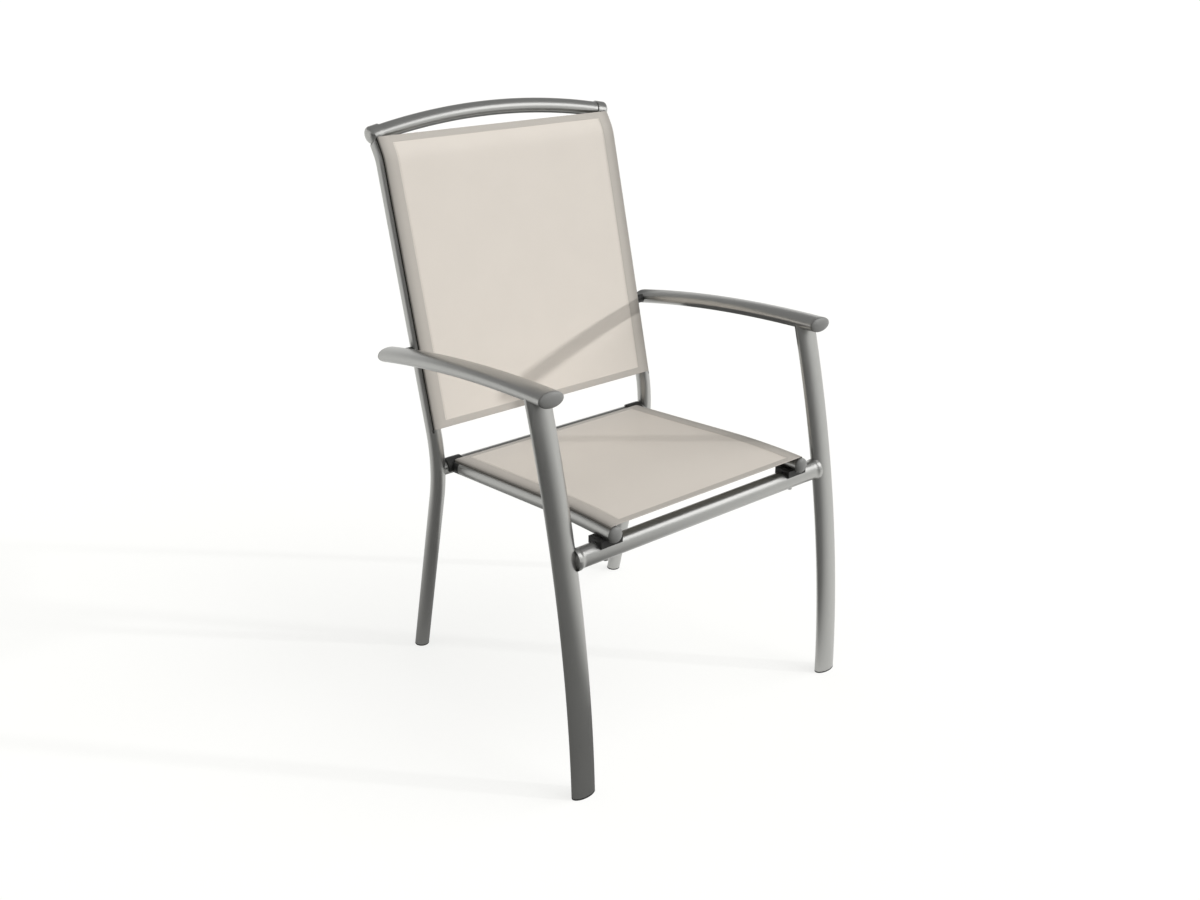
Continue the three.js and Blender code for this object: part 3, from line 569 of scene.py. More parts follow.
def sling_weave(chair):
    """Coated mesh cloth: round threads that pass over and under each other, doubled at hems.

    Each thread's height is the cosine of its distance from its middle, raised where it is on top.
    Shade is painted between the threads, beside the slots and on the cloth tucked into them.
    """
    finish = Finish("Woven sling mesh", Specular_IOR_Level=0.35)
    threads = {0: finish.node("UVMap", uv_map="weave"), 1: (1 / chair.thread_pitch,) * 3}
    across, along = finish.parts(finish.node("VectorMath", threads, operation="MULTIPLY"))
    turns = finish.plus(finish.math("FLOOR", across), finish.math("FLOOR", along))
    over = finish.math("FLOORED_MODULO", turns, 2.0)
    warp, weft = (
        finish.times(
            finish.math("ABSOLUTE", finish.math("SINE", finish.times(way, np.pi))),
            finish.ramp(on_top, 0.0, 1.0, 0.55, 1.0),
        )
        for way, on_top in ((across, over), (along, finish.minus(1.0, over)))
    )
    height = finish.larger(warp, weft)

    # doubled is 0 on one layer and 1 on a hem; painted shade takes it up to 2 beside the slot and
    # up to 3 inside it
    doubled = finish.node("Attribute", output="Fac", attribute_name="doubled")
    painted_slot_shade, tucked = finish.minus(doubled, 1.0), finish.minus(doubled, 2.0)
    field, hem = tuple(chair.sling_colour), tuple(chair.hem_colour)
    rise, fall = (0.2, 0.6, 0.0, 1.0), (0.9, 1.0, 0.35, 0.0)
    seam = finish.times(finish.ramp(doubled, *rise), finish.ramp(doubled, *fall))
    tone = finish.mix(doubled, rgba(field), rgba(hem))
    tone = finish.mix(seam, tone, rgba(hem, 0.6))
    # Painted shade: the cloth is painted darker towards its slot, where it turns into the channel
    tone = finish.mix(painted_slot_shade, tone, rgba(hem, chair.painted_edge_shade))
    cloud = finish.spread(finish.noise(finish.place, scale=14.0), 0.0, 0.05)
    tone = finish.mix(cloud, tone, rgba(hem, 0.9))
    # Painted shade: the cloth is painted darker between the threads, where the weave is low
    painted_gap_shade = finish.ramp(height, 0.1, 0.6, 0.16, 0.0)
    shown = finish.mix(painted_gap_shade, tone, rgba(hem, 0.45))
    # Painted shadow: the cloth tucked inside the slot is painted nearly black
    finish.join("Base Color", finish.mix(tucked, shown, rgba(hem, 0.04)))
    finish.join("Roughness", finish.ramp(height, 0.2, 0.9, 0.72, 0.52))
    finish.bump(height, chair.weave_relief, distance=0.0004)
    return finish.material


def studio_paper(chair):
    """Paper that shows pale to the eye and in reflections, and keeps the chair's shadow."""
    colour = tuple(chair.floor_colour)
    finish = Finish(
        "Pale studio paper", Roughness=0.9, Specular_IOR_Level=0.1, Emission_Color=PAPER_WHITE
    )
    fibre = finish.noise(finish.place, scale=3.0, detail=2.0)
    finish.join("Base Color", finish.mix(fibre, rgba(colour, 0.97), rgba(colour, 1.0)))
    finish.join("Emission Strength", finish.times(finish.seen_directly(), chair.floor_glow))
    return finish.material


def studio_black(name, glow=0.0):
    """A finish that gives back no light but may glow: it paints shade and highlights into
    reflections.
    """
    return Finish(
        name,
        Base_Color=(0.0, 0.0, 0.0, 1),
        Roughness=1.0,
        Specular_IOR_Level=0.0,
        Emission_Color=(1.0, 1.0, 1.0, 1),
        Emission_Strength=glow,
    )


# Settings


class SlingChairSettings(PropertyGroup):
    """Sizes and colours that a user would change."""

    tube_wall: FloatProperty(
        name="Tube wall", description="Wall of every tube", default=0.0015, unit="LENGTH"
    )
    lip_depth: FloatProperty(
        name="Lip depth",
        description="How far the lips of a sling channel round off into the slot",
        default=0.0010,
        unit="LENGTH",
    )
    lip_turn: FloatProperty(
        name="Lip turn",
        description="Half the turn round the tube that the rounded lips take up",
        default=float(np.radians(12)),
        unit="ROTATION",
    )
    cap_edge: FloatProperty(
        name="Cap edge", description="Rounding of the moulded ends", default=0.0012, unit="LENGTH"
    )
    sling_thickness: FloatProperty(
        name="Cloth", description="Thickness of one layer of cloth", default=0.0008, unit="LENGTH"
    )
    seam_inset: FloatProperty(
        name="Seam inset",
        description="From the hidden edge of a sling to the seam of its side hem",
        default=0.0275,
        unit="LENGTH",
    )
    end_hem: FloatProperty(
        name="End hem", description="Width of a sling's end hems", default=0.0125, unit="LENGTH"
    )
    thread_pitch: FloatProperty(
        name="Thread pitch",
        description="From one thread to the next",
        default=0.0014,
        unit="LENGTH",
    )
    weave_relief: FloatProperty(
        name="Weave relief",
        description="Strength of the weave's bump",
        default=0.35,
        subtype="FACTOR",
    )
    stitch_length: FloatProperty(
        name="Stitch", description="Length of one stitch", default=0.0027, unit="LENGTH"
    )
    stitch_pitch: FloatProperty(
        name="Stitch pitch",
        description="From one stitch to the next",
        default=0.0036,
        unit="LENGTH",
    )
    metal_colour: FloatVectorProperty(
        name="Metal",
        description="Coating of the tubes",
        default=(0.46, 0.46, 0.446),
        subtype="COLOR",
    )
    metal_roughness: FloatProperty(
        name="Metal roughness", description="Satin of the coating", default=0.29, subtype="FACTOR"
    )
    cap_colour: FloatVectorProperty(
        name="Caps", description="Moulded end caps", default=(0.18, 0.18, 0.174), subtype="COLOR"
    )
    sling_colour: FloatVectorProperty(
        name="Slings",
        description="One layer of cloth",
        default=(0.62, 0.574, 0.52),
        subtype="COLOR",
    )
    hem_colour: FloatVectorProperty(
        name="Hems", description="Doubled cloth", default=(0.425, 0.397, 0.362), subtype="COLOR"
    )
    # Painted shade: how dark the cloth is painted beside its slot
    painted_edge_shade: FloatProperty(
        name="Edge shade",
        description="Tone of the cloth beside its slot",
        default=0.66,
        subtype="FACTOR",
    )
    floor_colour: FloatVectorProperty(
        name="Floor", description="Studio paper", default=(0.245, 0.245, 0.24), subtype="COLOR"
    )
    floor_glow: FloatProperty(
        name="Floor glow", description="Light that the floor gives", default=0.76, subtype="FACTOR"
    )
    key_strength: FloatProperty(
        name="Key", description="Strength of the low key lamp", default=1.72
    )
    softbox_strength: FloatProperty(
        name="Softbox", description="Strength of the wide high lamp", default=1.7
    )
    # Painted reflection: grey of a ceiling sheet that shows only in the metal
    ceiling_reflection_glow: FloatProperty(
        name="Ceiling glow",
        description="Grey of the ceiling in the metal",
        default=0.31,
        subtype="FACTOR",
    )
    # Painted highlight: glow of a white card that shows only in the metal
    highlight_card_glow: FloatProperty(
        name="Card glow", description="Light of the white card in the metal", default=2.2
    )
    ambient: FloatProperty(
        name="Ambient", description="Light of the studio's walls", default=0.53, subtype="FACTOR"
    )
    round_steps: IntProperty(
        name="Round steps", description="Rings of a rounded edge or dome", default=10, min=3
    )


# Tubes


def pipe(path, marks, outer, inner, ends=()):
    """A tube's outer wall along the marks and its inner wall back. Each end is (row, its cut)."""
    outside, inside = sweep(path, marks, outer), sweep(path, marks, inner)
    for index, cut in ends:
        outside[index], inside[index] = cut(outside[index]), cut(inside[index])
    return Shape().ring(np.concatenate([outside, inside[::-1]]))


def lathe(path, marks, radii, half_width=1.0, half_depth=1.0):
    """A profile turned round a path: each row is the oval scaled by its radius."""
    section = oval(half_width, half_depth) * np.asarray(radii)[:, None, None]
    return Shape().capped(sweep(path, marks, section))


def rounding(chair, edge):
    """How far a rounded edge rises and stays inside: edge (1 - cos t) and edge (1 - sin t)."""
    turn = np.linspace(0, np.pi / 2, chair.round_steps)
    return edge * (1 - np.cos(turn)), edge * (1 - np.sin(turn))


def domed(chair, marks, radii, start, radius, height):
    """A profile that ends in a dome, with marks start + height sin(t) and radii radius cos(t)."""
    turn = np.linspace(0, np.pi / 2, 2 * chair.round_steps)
    dome = radius * np.maximum(np.cos(turn), POLE_SHARE)
    marks = np.concatenate([marks, start + height * np.sin(turn)])
    return marks, np.concatenate([radii, dome])


class ChairOperator:
    """What every operator here shares."""

    bl_options = {"REGISTER", "UNDO"}

    def execute(self, context):
        self.make(context.scene.sling_chair)
        return {"FINISHED"}


class SLINGCHAIR_OT_top_rail(ChairOperator, Operator):
    """Makes the arched top rail and its two sleeve caps"""

    bl_idname = "sling_chair.top_rail"
    bl_label = "Top rail"

    def make(self, chair):
        path, length = TOP_RAIL_PATH, TOP_RAIL_PATH.length
        dome_start, dome_height, ring_step = 0.0075, 0.0087, 0.005
        inset = dome_start + SEAT_GAP
        walls = tube_walls(TUBE_RADIUS, TUBE_RADIUS, chair.tube_wall)
        rail = pipe(path, spaced(inset, length - inset, ring_step), *walls)
        single(rail, "top_rail_tube", "metal", "frame", "top_rail")

        mouth, floor = length - TOP_CAP_SLEEVE, length - dome_start
        bore = TUBE_RADIUS + SEAT_GAP
        rise, inward = rounding(chair, chair.cap_edge / 2)
        marks = [floor, floor, mouth, *(mouth + rise)]
        radii = [POLE_RADIUS, bore, bore, *(TOP_CAP_RADIUS - inward)]
        marks, radii = domed(chair, marks, radii, floor, TOP_CAP_RADIUS, dome_height)
        cap = lathe(path, marks, radii)
        pair(cap, "top_rail_sleeve", "metal", "end_cap", "top_rail_cap")


class SLINGCHAIR_OT_uprights(ChairOperator, Operator):
    """Makes the two bent uprights, with the sling channel in each back post"""

    bl_idname = "sling_chair.uprights"
    bl_label = "Uprights"

    def make(self, chair):
        path = BACK_PATH.moved_across(UPRIGHT_X)
        loops = slotted_loops(TUBE_RADIUS, chair.tube_wall, chair.lip_turn, chair.lip_depth)
        runout = BACK_SLING_END + CHANNEL_RUNOUT
        top, foot = 0.020, path.length - 0.006
        slot_step, plain_step, closing = 0.005, 0.007, 0.0012
        slotted = spaced(top, runout - closing, slot_step)
        plain = spaced(runout, foot, plain_step)
        marks = np.concatenate([[top - END_LENGTH], slotted, plain, [foot + END_LENGTH]])
        has_slot = (marks < runout)[:, None, None]
        outer, inner = (np.where(has_slot, loops[i], loops[i + 2]) for i in (0, 1))
        centre, axis = OVER_UPRIGHT
        upward, downward = -path.at(0.0)[1], path.at(path.length)[1]
        sleeve = centre, unit(np.cross(axis, upward)), TOP_CAP_RADIUS, TOP_CAP_RADIUS, axis

        def under_cap(row):
            return slid(row, upward, np.minimum(to_oval(row, upward, *sleeve), top))

        def over_foot(row):
            return to_height(row, downward, box("right_upright")[0][2])

        tube = pipe(path, marks, outer, inner, [(0, under_cap), (-1, over_foot)])
        pair(tube, "upright_tube", "metal", "frame", "upright")


class SLINGCHAIR_OT_front_legs(ChairOperator, Operator):
    """Makes the two bowed oval front legs"""

    bl_idname = "sling_chair.front_legs"
    bl_label = "Front legs"

    def make(self, chair):
        path = LEG_PATH
        walls = tube_walls(LEG_HALF_WIDTH, LEG_HALF_DEPTH, chair.tube_wall)
        low, high, longest_cut = 0.009, path.length - 0.028, 0.027
        rings = spaced(low, high, RING_STEP)
        marks = np.concatenate([[low - END_LENGTH], rings, [high + END_LENGTH]])
        upward, downward = path.at(high)[1], -path.at(0.0)[1]
        arm = LEG_TOP[0], ACROSS, ARM_HALF_WIDTH, ARM_HALF_DEPTH, LEG_TOP[1]

        def under_arm(row):
            return slid(row, upward, np.minimum(to_oval(row, upward, *arm), longest_cut))

        def over_foot(row):
            return to_height(row, downward, box("right_front_leg")[0][2])

        tube = pipe(path, marks, *walls, [(0, over_foot), (-1, under_arm)])
        pair(tube, "front_leg_tube", "metal", "frame", "front_leg")


class SLINGCHAIR_OT_armrests(ChairOperator, Operator):
    """Makes the two bowed armrests and the domed cap at each end"""

    bl_idname = "sling_chair.armrests"
    bl_label = "Armrests"

    def make(self, chair):
        path, size = ARM_PATH, (ARM_HALF_WIDTH, ARM_HALF_DEPTH)
        tube = pipe(path, spaced(0, path.length, RING_STEP), *tube_walls(*size, chair.tube_wall))
        pair(tube, "armrest_tube", "metal", "frame", "armrest")

        # A plug inside the tube and a rim flush with it, under an elliptical dome
        plug, rim, height = 0.008, 0.001, 0.0058
        fit = 1 - (chair.tube_wall + SEAT_GAP) / ARM_HALF_DEPTH
        marks, radii = [-plug, -plug, SEAT_GAP, SEAT_GAP], [POLE_SHARE, fit, fit, SHOULDER]
        marks, radii = domed(chair, marks, radii, rim, 1.0, height)
        for name, places in (("arm_front_cap", path.length + marks), ("arm_rear_cap", -marks)):
            cap = lathe(path, places, radii, *size)
            pair(cap, name + "_dome", "cap", "end_cap", name)


class SLINGCHAIR_OT_crossbars(ChairOperator, Operator):
    """Makes the front crossbar with its welded ends and the rear crossbar"""

    bl_idname = "sling_chair.crossbars"
    bl_label = "Crossbars"

    def make(self, chair):
        self.front_bar(chair)
        self.rear_bar(chair)

    @staticmethod
    def across_path(centre, reach):
        return Path(centre + np.outer([-reach, reach], ACROSS), np.tile(ACROSS, (2, 1)), UP)

    def front_bar(self, chair):
        """A tube that flares towards each end and hugs the leg there."""
        flare_length, flare, hug, cope = 0.008, 0.0018, 0.0085, 0.0065
        straight, clearance, flare_count, rounding_count = 0.1, 0.0008, 9, 10
        leg_centre, leg_axis = FRONT_BAR
        rim_x = ARM_X - LEG_HALF_WIDTH - clearance
        centre = leg_centre * (0, 1, 1)
        bar = self.across_path(centre, rim_x)
        share = np.linspace(0, 1, flare_count)
        halves = rim_x - flare_length * share[::-1]
        marks = rim_x + np.concatenate([-halves[::-1], [-straight, straight], halves])
        swell = flare * np.concatenate([share[::-1], np.zeros(2), share]) ** 2
        lean = leg_axis / leg_axis[2] - UP

        def onto_leg(way, thin):
            """Rows that round off from the flare onto the leg.

            They run on by a share s of the way and inward by 1 - sqrt(1 - s^2). In front of the
            leg and behind it the flare first runs on by the depth of the cope.
            """
            widest, taper = FRONT_BAR_RADIUS + flare, thin / 4
            mark = rim_x * (1 + way)
            side = ACROSS * way
            leg = leg_centre * (way, 1, 1), ACROSS, LEG_HALF_WIDTH, LEG_HALF_DEPTH, leg_axis
            rim = sweep(bar, [mark], oval(widest - thin, widest - thin))[0]
            reach = to_oval(rim, side, *leg) - SEAT_GAP
            rim = slid(rim, side, np.clip(reach - taper, 0, cope - taper))
            last = sweep(bar, [mark], oval(widest - taper, hug - taper))[0]
            last = last + (last[:, 2:] - centre[2]) * lean
            last = slid(last, side, to_oval(last, side, *leg) - SEAT_GAP)
            s = np.linspace(0, 1, rounding_count)[1:, None]
            t = 1 - np.sqrt(1 - s**2)
            return rim + (last - rim) * np.stack([s, t, t], axis=-1)

        def wall(thin):
            section = oval(1.0, 1.0) * (FRONT_BAR_RADIUS - thin + swell)[:, None, None]
            middle_rows = sweep(bar, marks, section)
            return np.concatenate([onto_leg(-1, thin)[::-1], middle_rows, onto_leg(1, thin)])

        tube = Shape().ring(np.concatenate([wall(0.0), wall(chair.tube_wall)[::-1]]))
        single(tube, "front_crossbar_tube", "metal", "frame", "front_crossbar")

    def rear_bar(self, chair):
        """A straight tube that is cut to the round of the upright at each end."""
        reach, deepest = UPRIGHT_X - TUBE_RADIUS - END_LENGTH, TUBE_RADIUS * 0.9
        marks = [0.0, END_LENGTH, 2 * reach - END_LENGTH, 2 * reach]
        walls = tube_walls(TUBE_RADIUS, TUBE_RADIUS, chair.tube_wall)
        post, post_axis = BACK_PATH.at(BACK_PATH.mark_where(2, REAR_BAR[2]))

        def against_upright(row):
            side = ACROSS * np.sign(row[0, 0])
            upright = post + side * UPRIGHT_X, ACROSS, TUBE_RADIUS, TUBE_RADIUS, post_axis
            return slid(row, side, np.minimum(to_oval(row, side, *upright), deepest))

        ends = [(0, against_upright), (-1, against_upright)]
        tube = pipe(self.across_path(REAR_BAR, reach), marks, *walls, ends)
        single(tube, "rear_crossbar_tube", "metal", "frame", "rear_crossbar")


class SLINGCHAIR_OT_seat_rails(ChairOperator, Operator):
    """Makes the two seat rails, their domed front caps and their black rear ends"""

    bl_idname = "sling_chair.seat_rails"
    bl_label = "Seat rails"

    def make(self, chair):
        path = SEAT_PATH.moved_across(RAIL_X)
        loops = slotted_loops(TUBE_RADIUS, chair.tube_wall, chair.lip_turn, chair.lip_depth)[:2]
        start = TUBE_RADIUS + RAIL_PLUG_LENGTH
        tube = pipe(path, spaced(start + SEAT_GAP, path.length, RING_STEP), *loops)
        pair(tube, "seat_rail_tube", "metal", "frame", "seat_rail")

        rim, height = 0.001, 0.0065
        fit = TUBE_RADIUS - chair.tube_wall - SEAT_GAP
        radii = [POLE_RADIUS, fit, TUBE_RADIUS * SHOULDER]
        marks, radii = domed(chair, [SEAT_GAP] * 3, radii, rim, TUBE_RADIUS, height)
        cap = lathe(path, path.length + marks, radii)
        pair(cap, "seat_rail_dome", "cap", "end_cap", "seat_rail_front_cap")

        back = -path.at(0.0)[1]
        across = unit(np.cross(ACROSS, back))
        bar = REAR_BAR + ACROSS * RAIL_X, across, TUBE_RADIUS, TUBE_RADIUS, ACROSS

        def against_bar(row):
            return slid(row, back, np.minimum(to_oval(row, back, *bar), start))

        marks = start - END_LENGTH * np.array([2, 1, 0])
        # The cradle is partly painted shade: its black covers the shaded crossbar beside the
        # upright
        plug = pipe(path, marks, *loops, [(0, against_bar)]).capped(self.cradle_and_painted_shade())
        pair(plug, "seat_rail_end", "black", "black_plastic", "seat_rail_rear_plug")

    @staticmethod
    def cradle_and_painted_shade():
        """A black moulded strap over the front and top of the rear crossbar, from rail to upright.
        Its black also stands in for the shade that falls on the crossbar between the rail and the
        upright.

        Its section is cos and sin of a turn, each to a power below 1, so that it is nearly a
        rectangle. It thins out at both ends.
        """
        low, high, thickness = 0.1835, UPRIGHT_X - TUBE_RADIUS - 0.0012, 0.0024
        first, last, count = np.radians(-20), np.radians(112), 28
        power, thinning, thinnest = 0.35, 0.08, 0.05
        turn = np.linspace(first, last, count)[:, None]
        outward = np.cos(turn) * -np.cross(UP, ACROSS) + np.sin(turn) * UP
        around = np.linspace(0, 2 * np.pi, count, endpoint=False)
        wide, thick = (
            np.sign(value) * np.abs(value) ** power for value in (np.cos(around), np.sin(around))
        )
        across = (low + high) / 2 + wide * (high - low) / 2
        from_end = np.minimum(turn - first, last - turn)
        ends = np.sqrt(np.clip(from_end / thinning, thinnest, 1))
        out = TUBE_RADIUS + SEAT_GAP + thickness / 2 * (1 + thick) * ends
        return REAR_BAR + across[None, :, None] * ACROSS + out[..., None] * outward[:, None]


class SLINGCHAIR_OT_feet(ChairOperator, Operator):
    """Makes the four black feet"""

    bl_idname = "sling_chair.feet"
    bl_label = "Feet"

    def make(self, chair):
        thickness, edge, pole, halfway = 0.0026, 0.0008, 0.02, 0.5
        rise, inward = rounding(chair, edge)
        heights = np.array([0, 0, *rise, thickness, thickness])[:, None]
        share = np.array([pole, halfway, *(1 - inward / TUBE_RADIUS), 1.0, pole])[:, None, None]
        upright = BACK_PATH.moved_across(UPRIGHT_X)
        for name, path, mark, way, section in (
            ("front_foot", LEG_PATH, 0.0, 1, oval(LEG_HALF_WIDTH, LEG_HALF_DEPTH)),
            ("rear_foot", upright, upright.length, -1, oval(TUBE_RADIUS, TUBE_RADIUS)),
        ):
            start, direction = path.at(mark)
            rim, centre = (
                to_height(row, direction * way, heights)
                for row in (sweep(path, [mark], section), start[None, None])
            )
            pad = Shape().capped(centre + (rim - centre) * share)
            pair(pad, name + "_pad", "black", "black_plastic", name)


class SLINGCHAIR_OT_small_parts(ChairOperator, Operator):
    """Finishes the saddles, spacers, screws and welt rods, which keep the frame's own shapes"""

    bl_idname = "sling_chair.small_parts"
    bl_label = "Small parts"

    def make(self, chair):
        parts = {
            "black": ("seat_rail_saddle", "arm_spacer"),
            "steel": ("arm_bolt", "arm_nut", "saddle_screw", "rear_rail_screw"),
            "rod": ("back_welt_rod", "seat_welt_rod"),
        }
        for finish, names in parts.items():
            for name in names:
                for side in ("left_", "right_"):
                    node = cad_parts[side + name]
                    node.data.materials.clear()
                    node.data.materials.append(finishes[finish])


# Slings


class Sling:
    """A cloth stretched over two tubes and tucked into their slots.

    Across is the distance over the cloth from its middle, along is the distance down the path, and
    height is the distance out of the cloth's middle layer. The cloth dips from the tube by a turn
    before the slot, and its painted tuck shade says how dark the shadow painted on its tucked edge
    is.
    """

    def __init__(self, path, tube_x, start, end, dip, painted_tuck_shade):
        self.path, self.start, self.end, self.painted_tuck_shade = path, start, end, painted_tuck_shade
        rest = TUBE_RADIUS + 0.0009
        tab = CHANNEL_OFFSET + CHANNEL_RADIUS - 0.0005
        flat_count, bend_count, power, rows_outside = 60, 16, 0.8, 2
        leave = SLOT_TURN - dip
        flat = np.stack([np.linspace(0, tube_x, flat_count), np.full(flat_count, rest)], axis=-1)
        share = np.linspace(0, 1, bend_count)[1:]
        over = polar(rest, leave * share) + (tube_x, 0)
        dive = polar(rest - (rest - tab) * share**power, leave + (SLOT_TURN - leave) * share)
        self.line = np.concatenate([flat, over, dive + (tube_x, 0)])
        steps = np.linalg.norm(np.diff(self.line, axis=0), axis=1)
        self.marks = np.concatenate([[0.0], np.cumsum(steps)])
        self.half_width = self.marks[-1]
        self.tuck = self.half_width - self.marks[len(flat) + len(over) + rows_outside]
        along = unit(np.gradient(self.line, self.marks, axis=0))
        self.normals = np.stack([-along[:, 1], along[:, 0]], axis=-1)

    def place(self, across, along, height):
        """Places on the cloth: the section's line at |across|, mirrored for the left half."""
        across, along, height = np.broadcast_arrays(across, along, height)
        side = np.where(across < 0, -1.0, 1.0)
        reach = np.minimum(np.abs(across), self.half_width)
        x, y, nx, ny = (
            np.interp(reach, self.marks, column) for column in (*self.line.T, *self.normals.T)
        )
        x, y = (x + nx * height) * side, y + ny * height
        places, directions = self.path.at(along)
        ups = np.cross(directions, self.path.side)
        return places + x[..., None] * self.path.side + y[..., None] * ups


def hemmed_cloth(sling, chair):
    """The cloth as a closed shell whose layers part at the hems and whose ends are folded."""
    layer, thinnest = chair.sling_thickness / 2, 0.02
    half, span = sling.half_width, sling.end - sling.start
    seam, hem, fold = half - chair.seam_inset, chair.end_hem, 0.0012
    fine, near, clear = np.linspace(0, 1, 9), 0.002, 0.003
    slot_zone, slot_step = 0.012, 0.0005
    field_count, hem_count, slot_count, lead_count = 60, 6, 30, 8
    by_seam = near * (2 * fine - 1)
    across = np.concatenate(
        [
            np.linspace(0, seam - clear, field_count),
            seam + by_seam,
            np.linspace(seam + clear, half - slot_zone, hem_count),
            np.linspace(half - slot_zone + slot_step, half, slot_count),
        ]
    )
    first_rows = np.linspace(fold * 1.5, hem - clear, lead_count)
    lead = np.concatenate([fold * fine**2, first_rows, hem + by_seam])
    field = spaced(hem + clear, span - hem - clear, RING_STEP)
    u, v = np.meshgrid(
        np.concatenate([-across[:0:-1], across]), np.concatenate([lead, field, span - lead[::-1]])
    )

    seam_rise, pucker_height = 0.0016, 0.00008
    from_end, inside = np.minimum(v, span - v), half - np.abs(u)
    side_hem, end_hem = (smooth(past / seam_rise) for past in (np.abs(u) - seam, hem - from_end))
    doubled = np.maximum(side_hem, end_hem)
    waves = np.sin(2 * np.pi * (v + u) / chair.stitch_pitch)
    pucker = pucker_height * waves * (4 * doubled * (1 - doubled))
    rounded = np.sqrt(np.clip(1 - (1 - np.minimum(from_end / fold, 1)) ** 2, 0, 1))
    thick = (layer * (1 + HEM_SWELL * doubled) + pucker) * np.maximum(rounded, thinnest)

    shade_start, shade_reach, tuck_reach = 0.018, 0.022, 0.0008
    # Painted shade: beside darkens the cloth towards its slot
    beside = smooth((sling.tuck + shade_start - inside) / shade_reach)
    # Painted shadow: within marks the cloth tucked into the slot, which the tuck shade paints dark
    within = smooth((sling.tuck - inside) / tuck_reach)
    marks = np.stack([u, v, doubled + beside + within * sling.painted_tuck_shade], axis=-1)
    front, back = (sling.place(u, sling.start + v, out) for out in (thick, -thick))
    return shell(front, back, marks)


def smooth(share):
    """0 before 0, 1 after 1, and 3 s^2 - 2 s^3 between."""
    share = np.clip(share, 0, 1)
    return share * share * (3 - 2 * share)


def shell(front, back, marks):
    """Two layers of the same grid, joined round their edge into one closed surface."""
    rows, columns = front.shape[:2]
    half = rows * columns
    top = quads(rows, columns, False, False)
    edge = np.concatenate(
        [
            np.arange(columns),
            np.arange(1, rows) * columns + columns - 1,
            half - 2 - np.arange(columns - 1),
            np.arange(rows - 2, 0, -1) * columns,
        ]
    )
    after = np.roll(edge, -1)
    wall = np.stack([after, edge, edge + half, after + half], axis=-1)
    faces = np.concatenate([top, top[:, ::-1] + half, wall])
    places = np.concatenate([front.reshape(-1, 3), back.reshape(-1, 3)])
    both = np.concatenate([marks.reshape(-1, 3), marks.reshape(-1, 3)])
    return Shape().add(places, [faces], both)


def stitches(sling, chair):
    """Rows of short threads along the hems, on both faces of the cloth.

    A stitch is a thin lens: its half width is the square root of 1 - s^2 along its length.
    """
    inset, width, depth, sunk, longest = 0.0012, 0.00028, 0.00022, 0.00005, 0.97
    rows, columns = 5, 6
    span = sling.end - sling.start
    seam, hem = sling.half_width - chair.seam_inset - inset, chair.end_hem - inset
    along = spaced(hem, span - hem, chair.stitch_pitch)
    across = spaced(-seam, seam, chair.stitch_pitch)
    runs = [(np.full(len(along), x), along, 0.0, 1.0) for x in (-seam, seam)]
    runs += [(across, np.full(len(across), v), 1.0, 0.0) for v in (hem, span - hem)]
    s = np.linspace(-longest, longest, rows)[:, None]
    turn = np.linspace(0, 2 * np.pi, columns, endpoint=False)[None]
    swell = np.sqrt(1 - s**2)
    lengthwise = s * chair.stitch_length / 2 + 0 * turn
    sidewise = width * swell * np.cos(turn)
    raised = chair.sling_thickness / 2 * (1 + HEM_SWELL) - sunk
    shape = Shape()
    for u, v, ux, vx in runs:
        for face in (1, -1):
            grids = sling.place(
                u[:, None, None] + lengthwise * ux + sidewise * vx,
                sling.start + v[:, None, None] + lengthwise * vx + sidewise * ux,
                face * raised + depth * swell * np.sin(turn),
            )
            shape.add(grids, lens_faces(len(grids), rows, columns))
    return shape


def lens_faces(count, rows, columns):
    """Corner numbers of many small closed surfaces, each a grid with its two ends filled."""
    around = np.arange(columns)
    ends = np.stack([around[::-1], around + (rows - 1) * columns])
    first = (np.arange(count) * rows * columns)[:, None, None]
    tables = quads(rows, columns, False, True), ends
    return [(table + first).reshape(-1, table.shape[1]) for table in tables]


class SLINGCHAIR_OT_slings(ChairOperator, Operator):
    """Makes the back sling and the seat sling with their hems and stitching"""

    bl_idname = "sling_chair.slings"
    bl_label = "Slings"

    def make(self, chair):
        # The tuck shade paints shadow on the cloth inside the slot: full on the back, a quarter on
        # the seat
        start, end = SLING_TOP_SPACE, BACK_SLING_END
        back = Sling(BACK_PATH, UPRIGHT_X, start, end, dip=np.radians(15), painted_tuck_shade=1.0)
        start, end = TUBE_RADIUS + SEAT_SLING_REAR_SPACE, SEAT_PATH.length - SEAT_SLING_FRONT_SPACE
        seat = Sling(SEAT_PATH, RAIL_X, start, end, dip=np.radians(9), painted_tuck_shade=0.25)
        crease = np.radians(70)
        for name, sling, carriers in (
            ("back_sling", back, ("left_upright_tube", "right_upright_tube")),
            ("seat_sling", seat, ("left_seat_rail_tube", "right_seat_rail_tube")),
        ):
            shape, look = hemmed_cloth(sling, chair), {"crease": crease, "mapped": True}
            cloth = single(shape, name + "_cloth", "weave", "sling_mesh", name, **look)
            rows = stitches(sling, chair)
            thread = single(rows, name + "_stitches", "thread", "sling_mesh")


# Stage


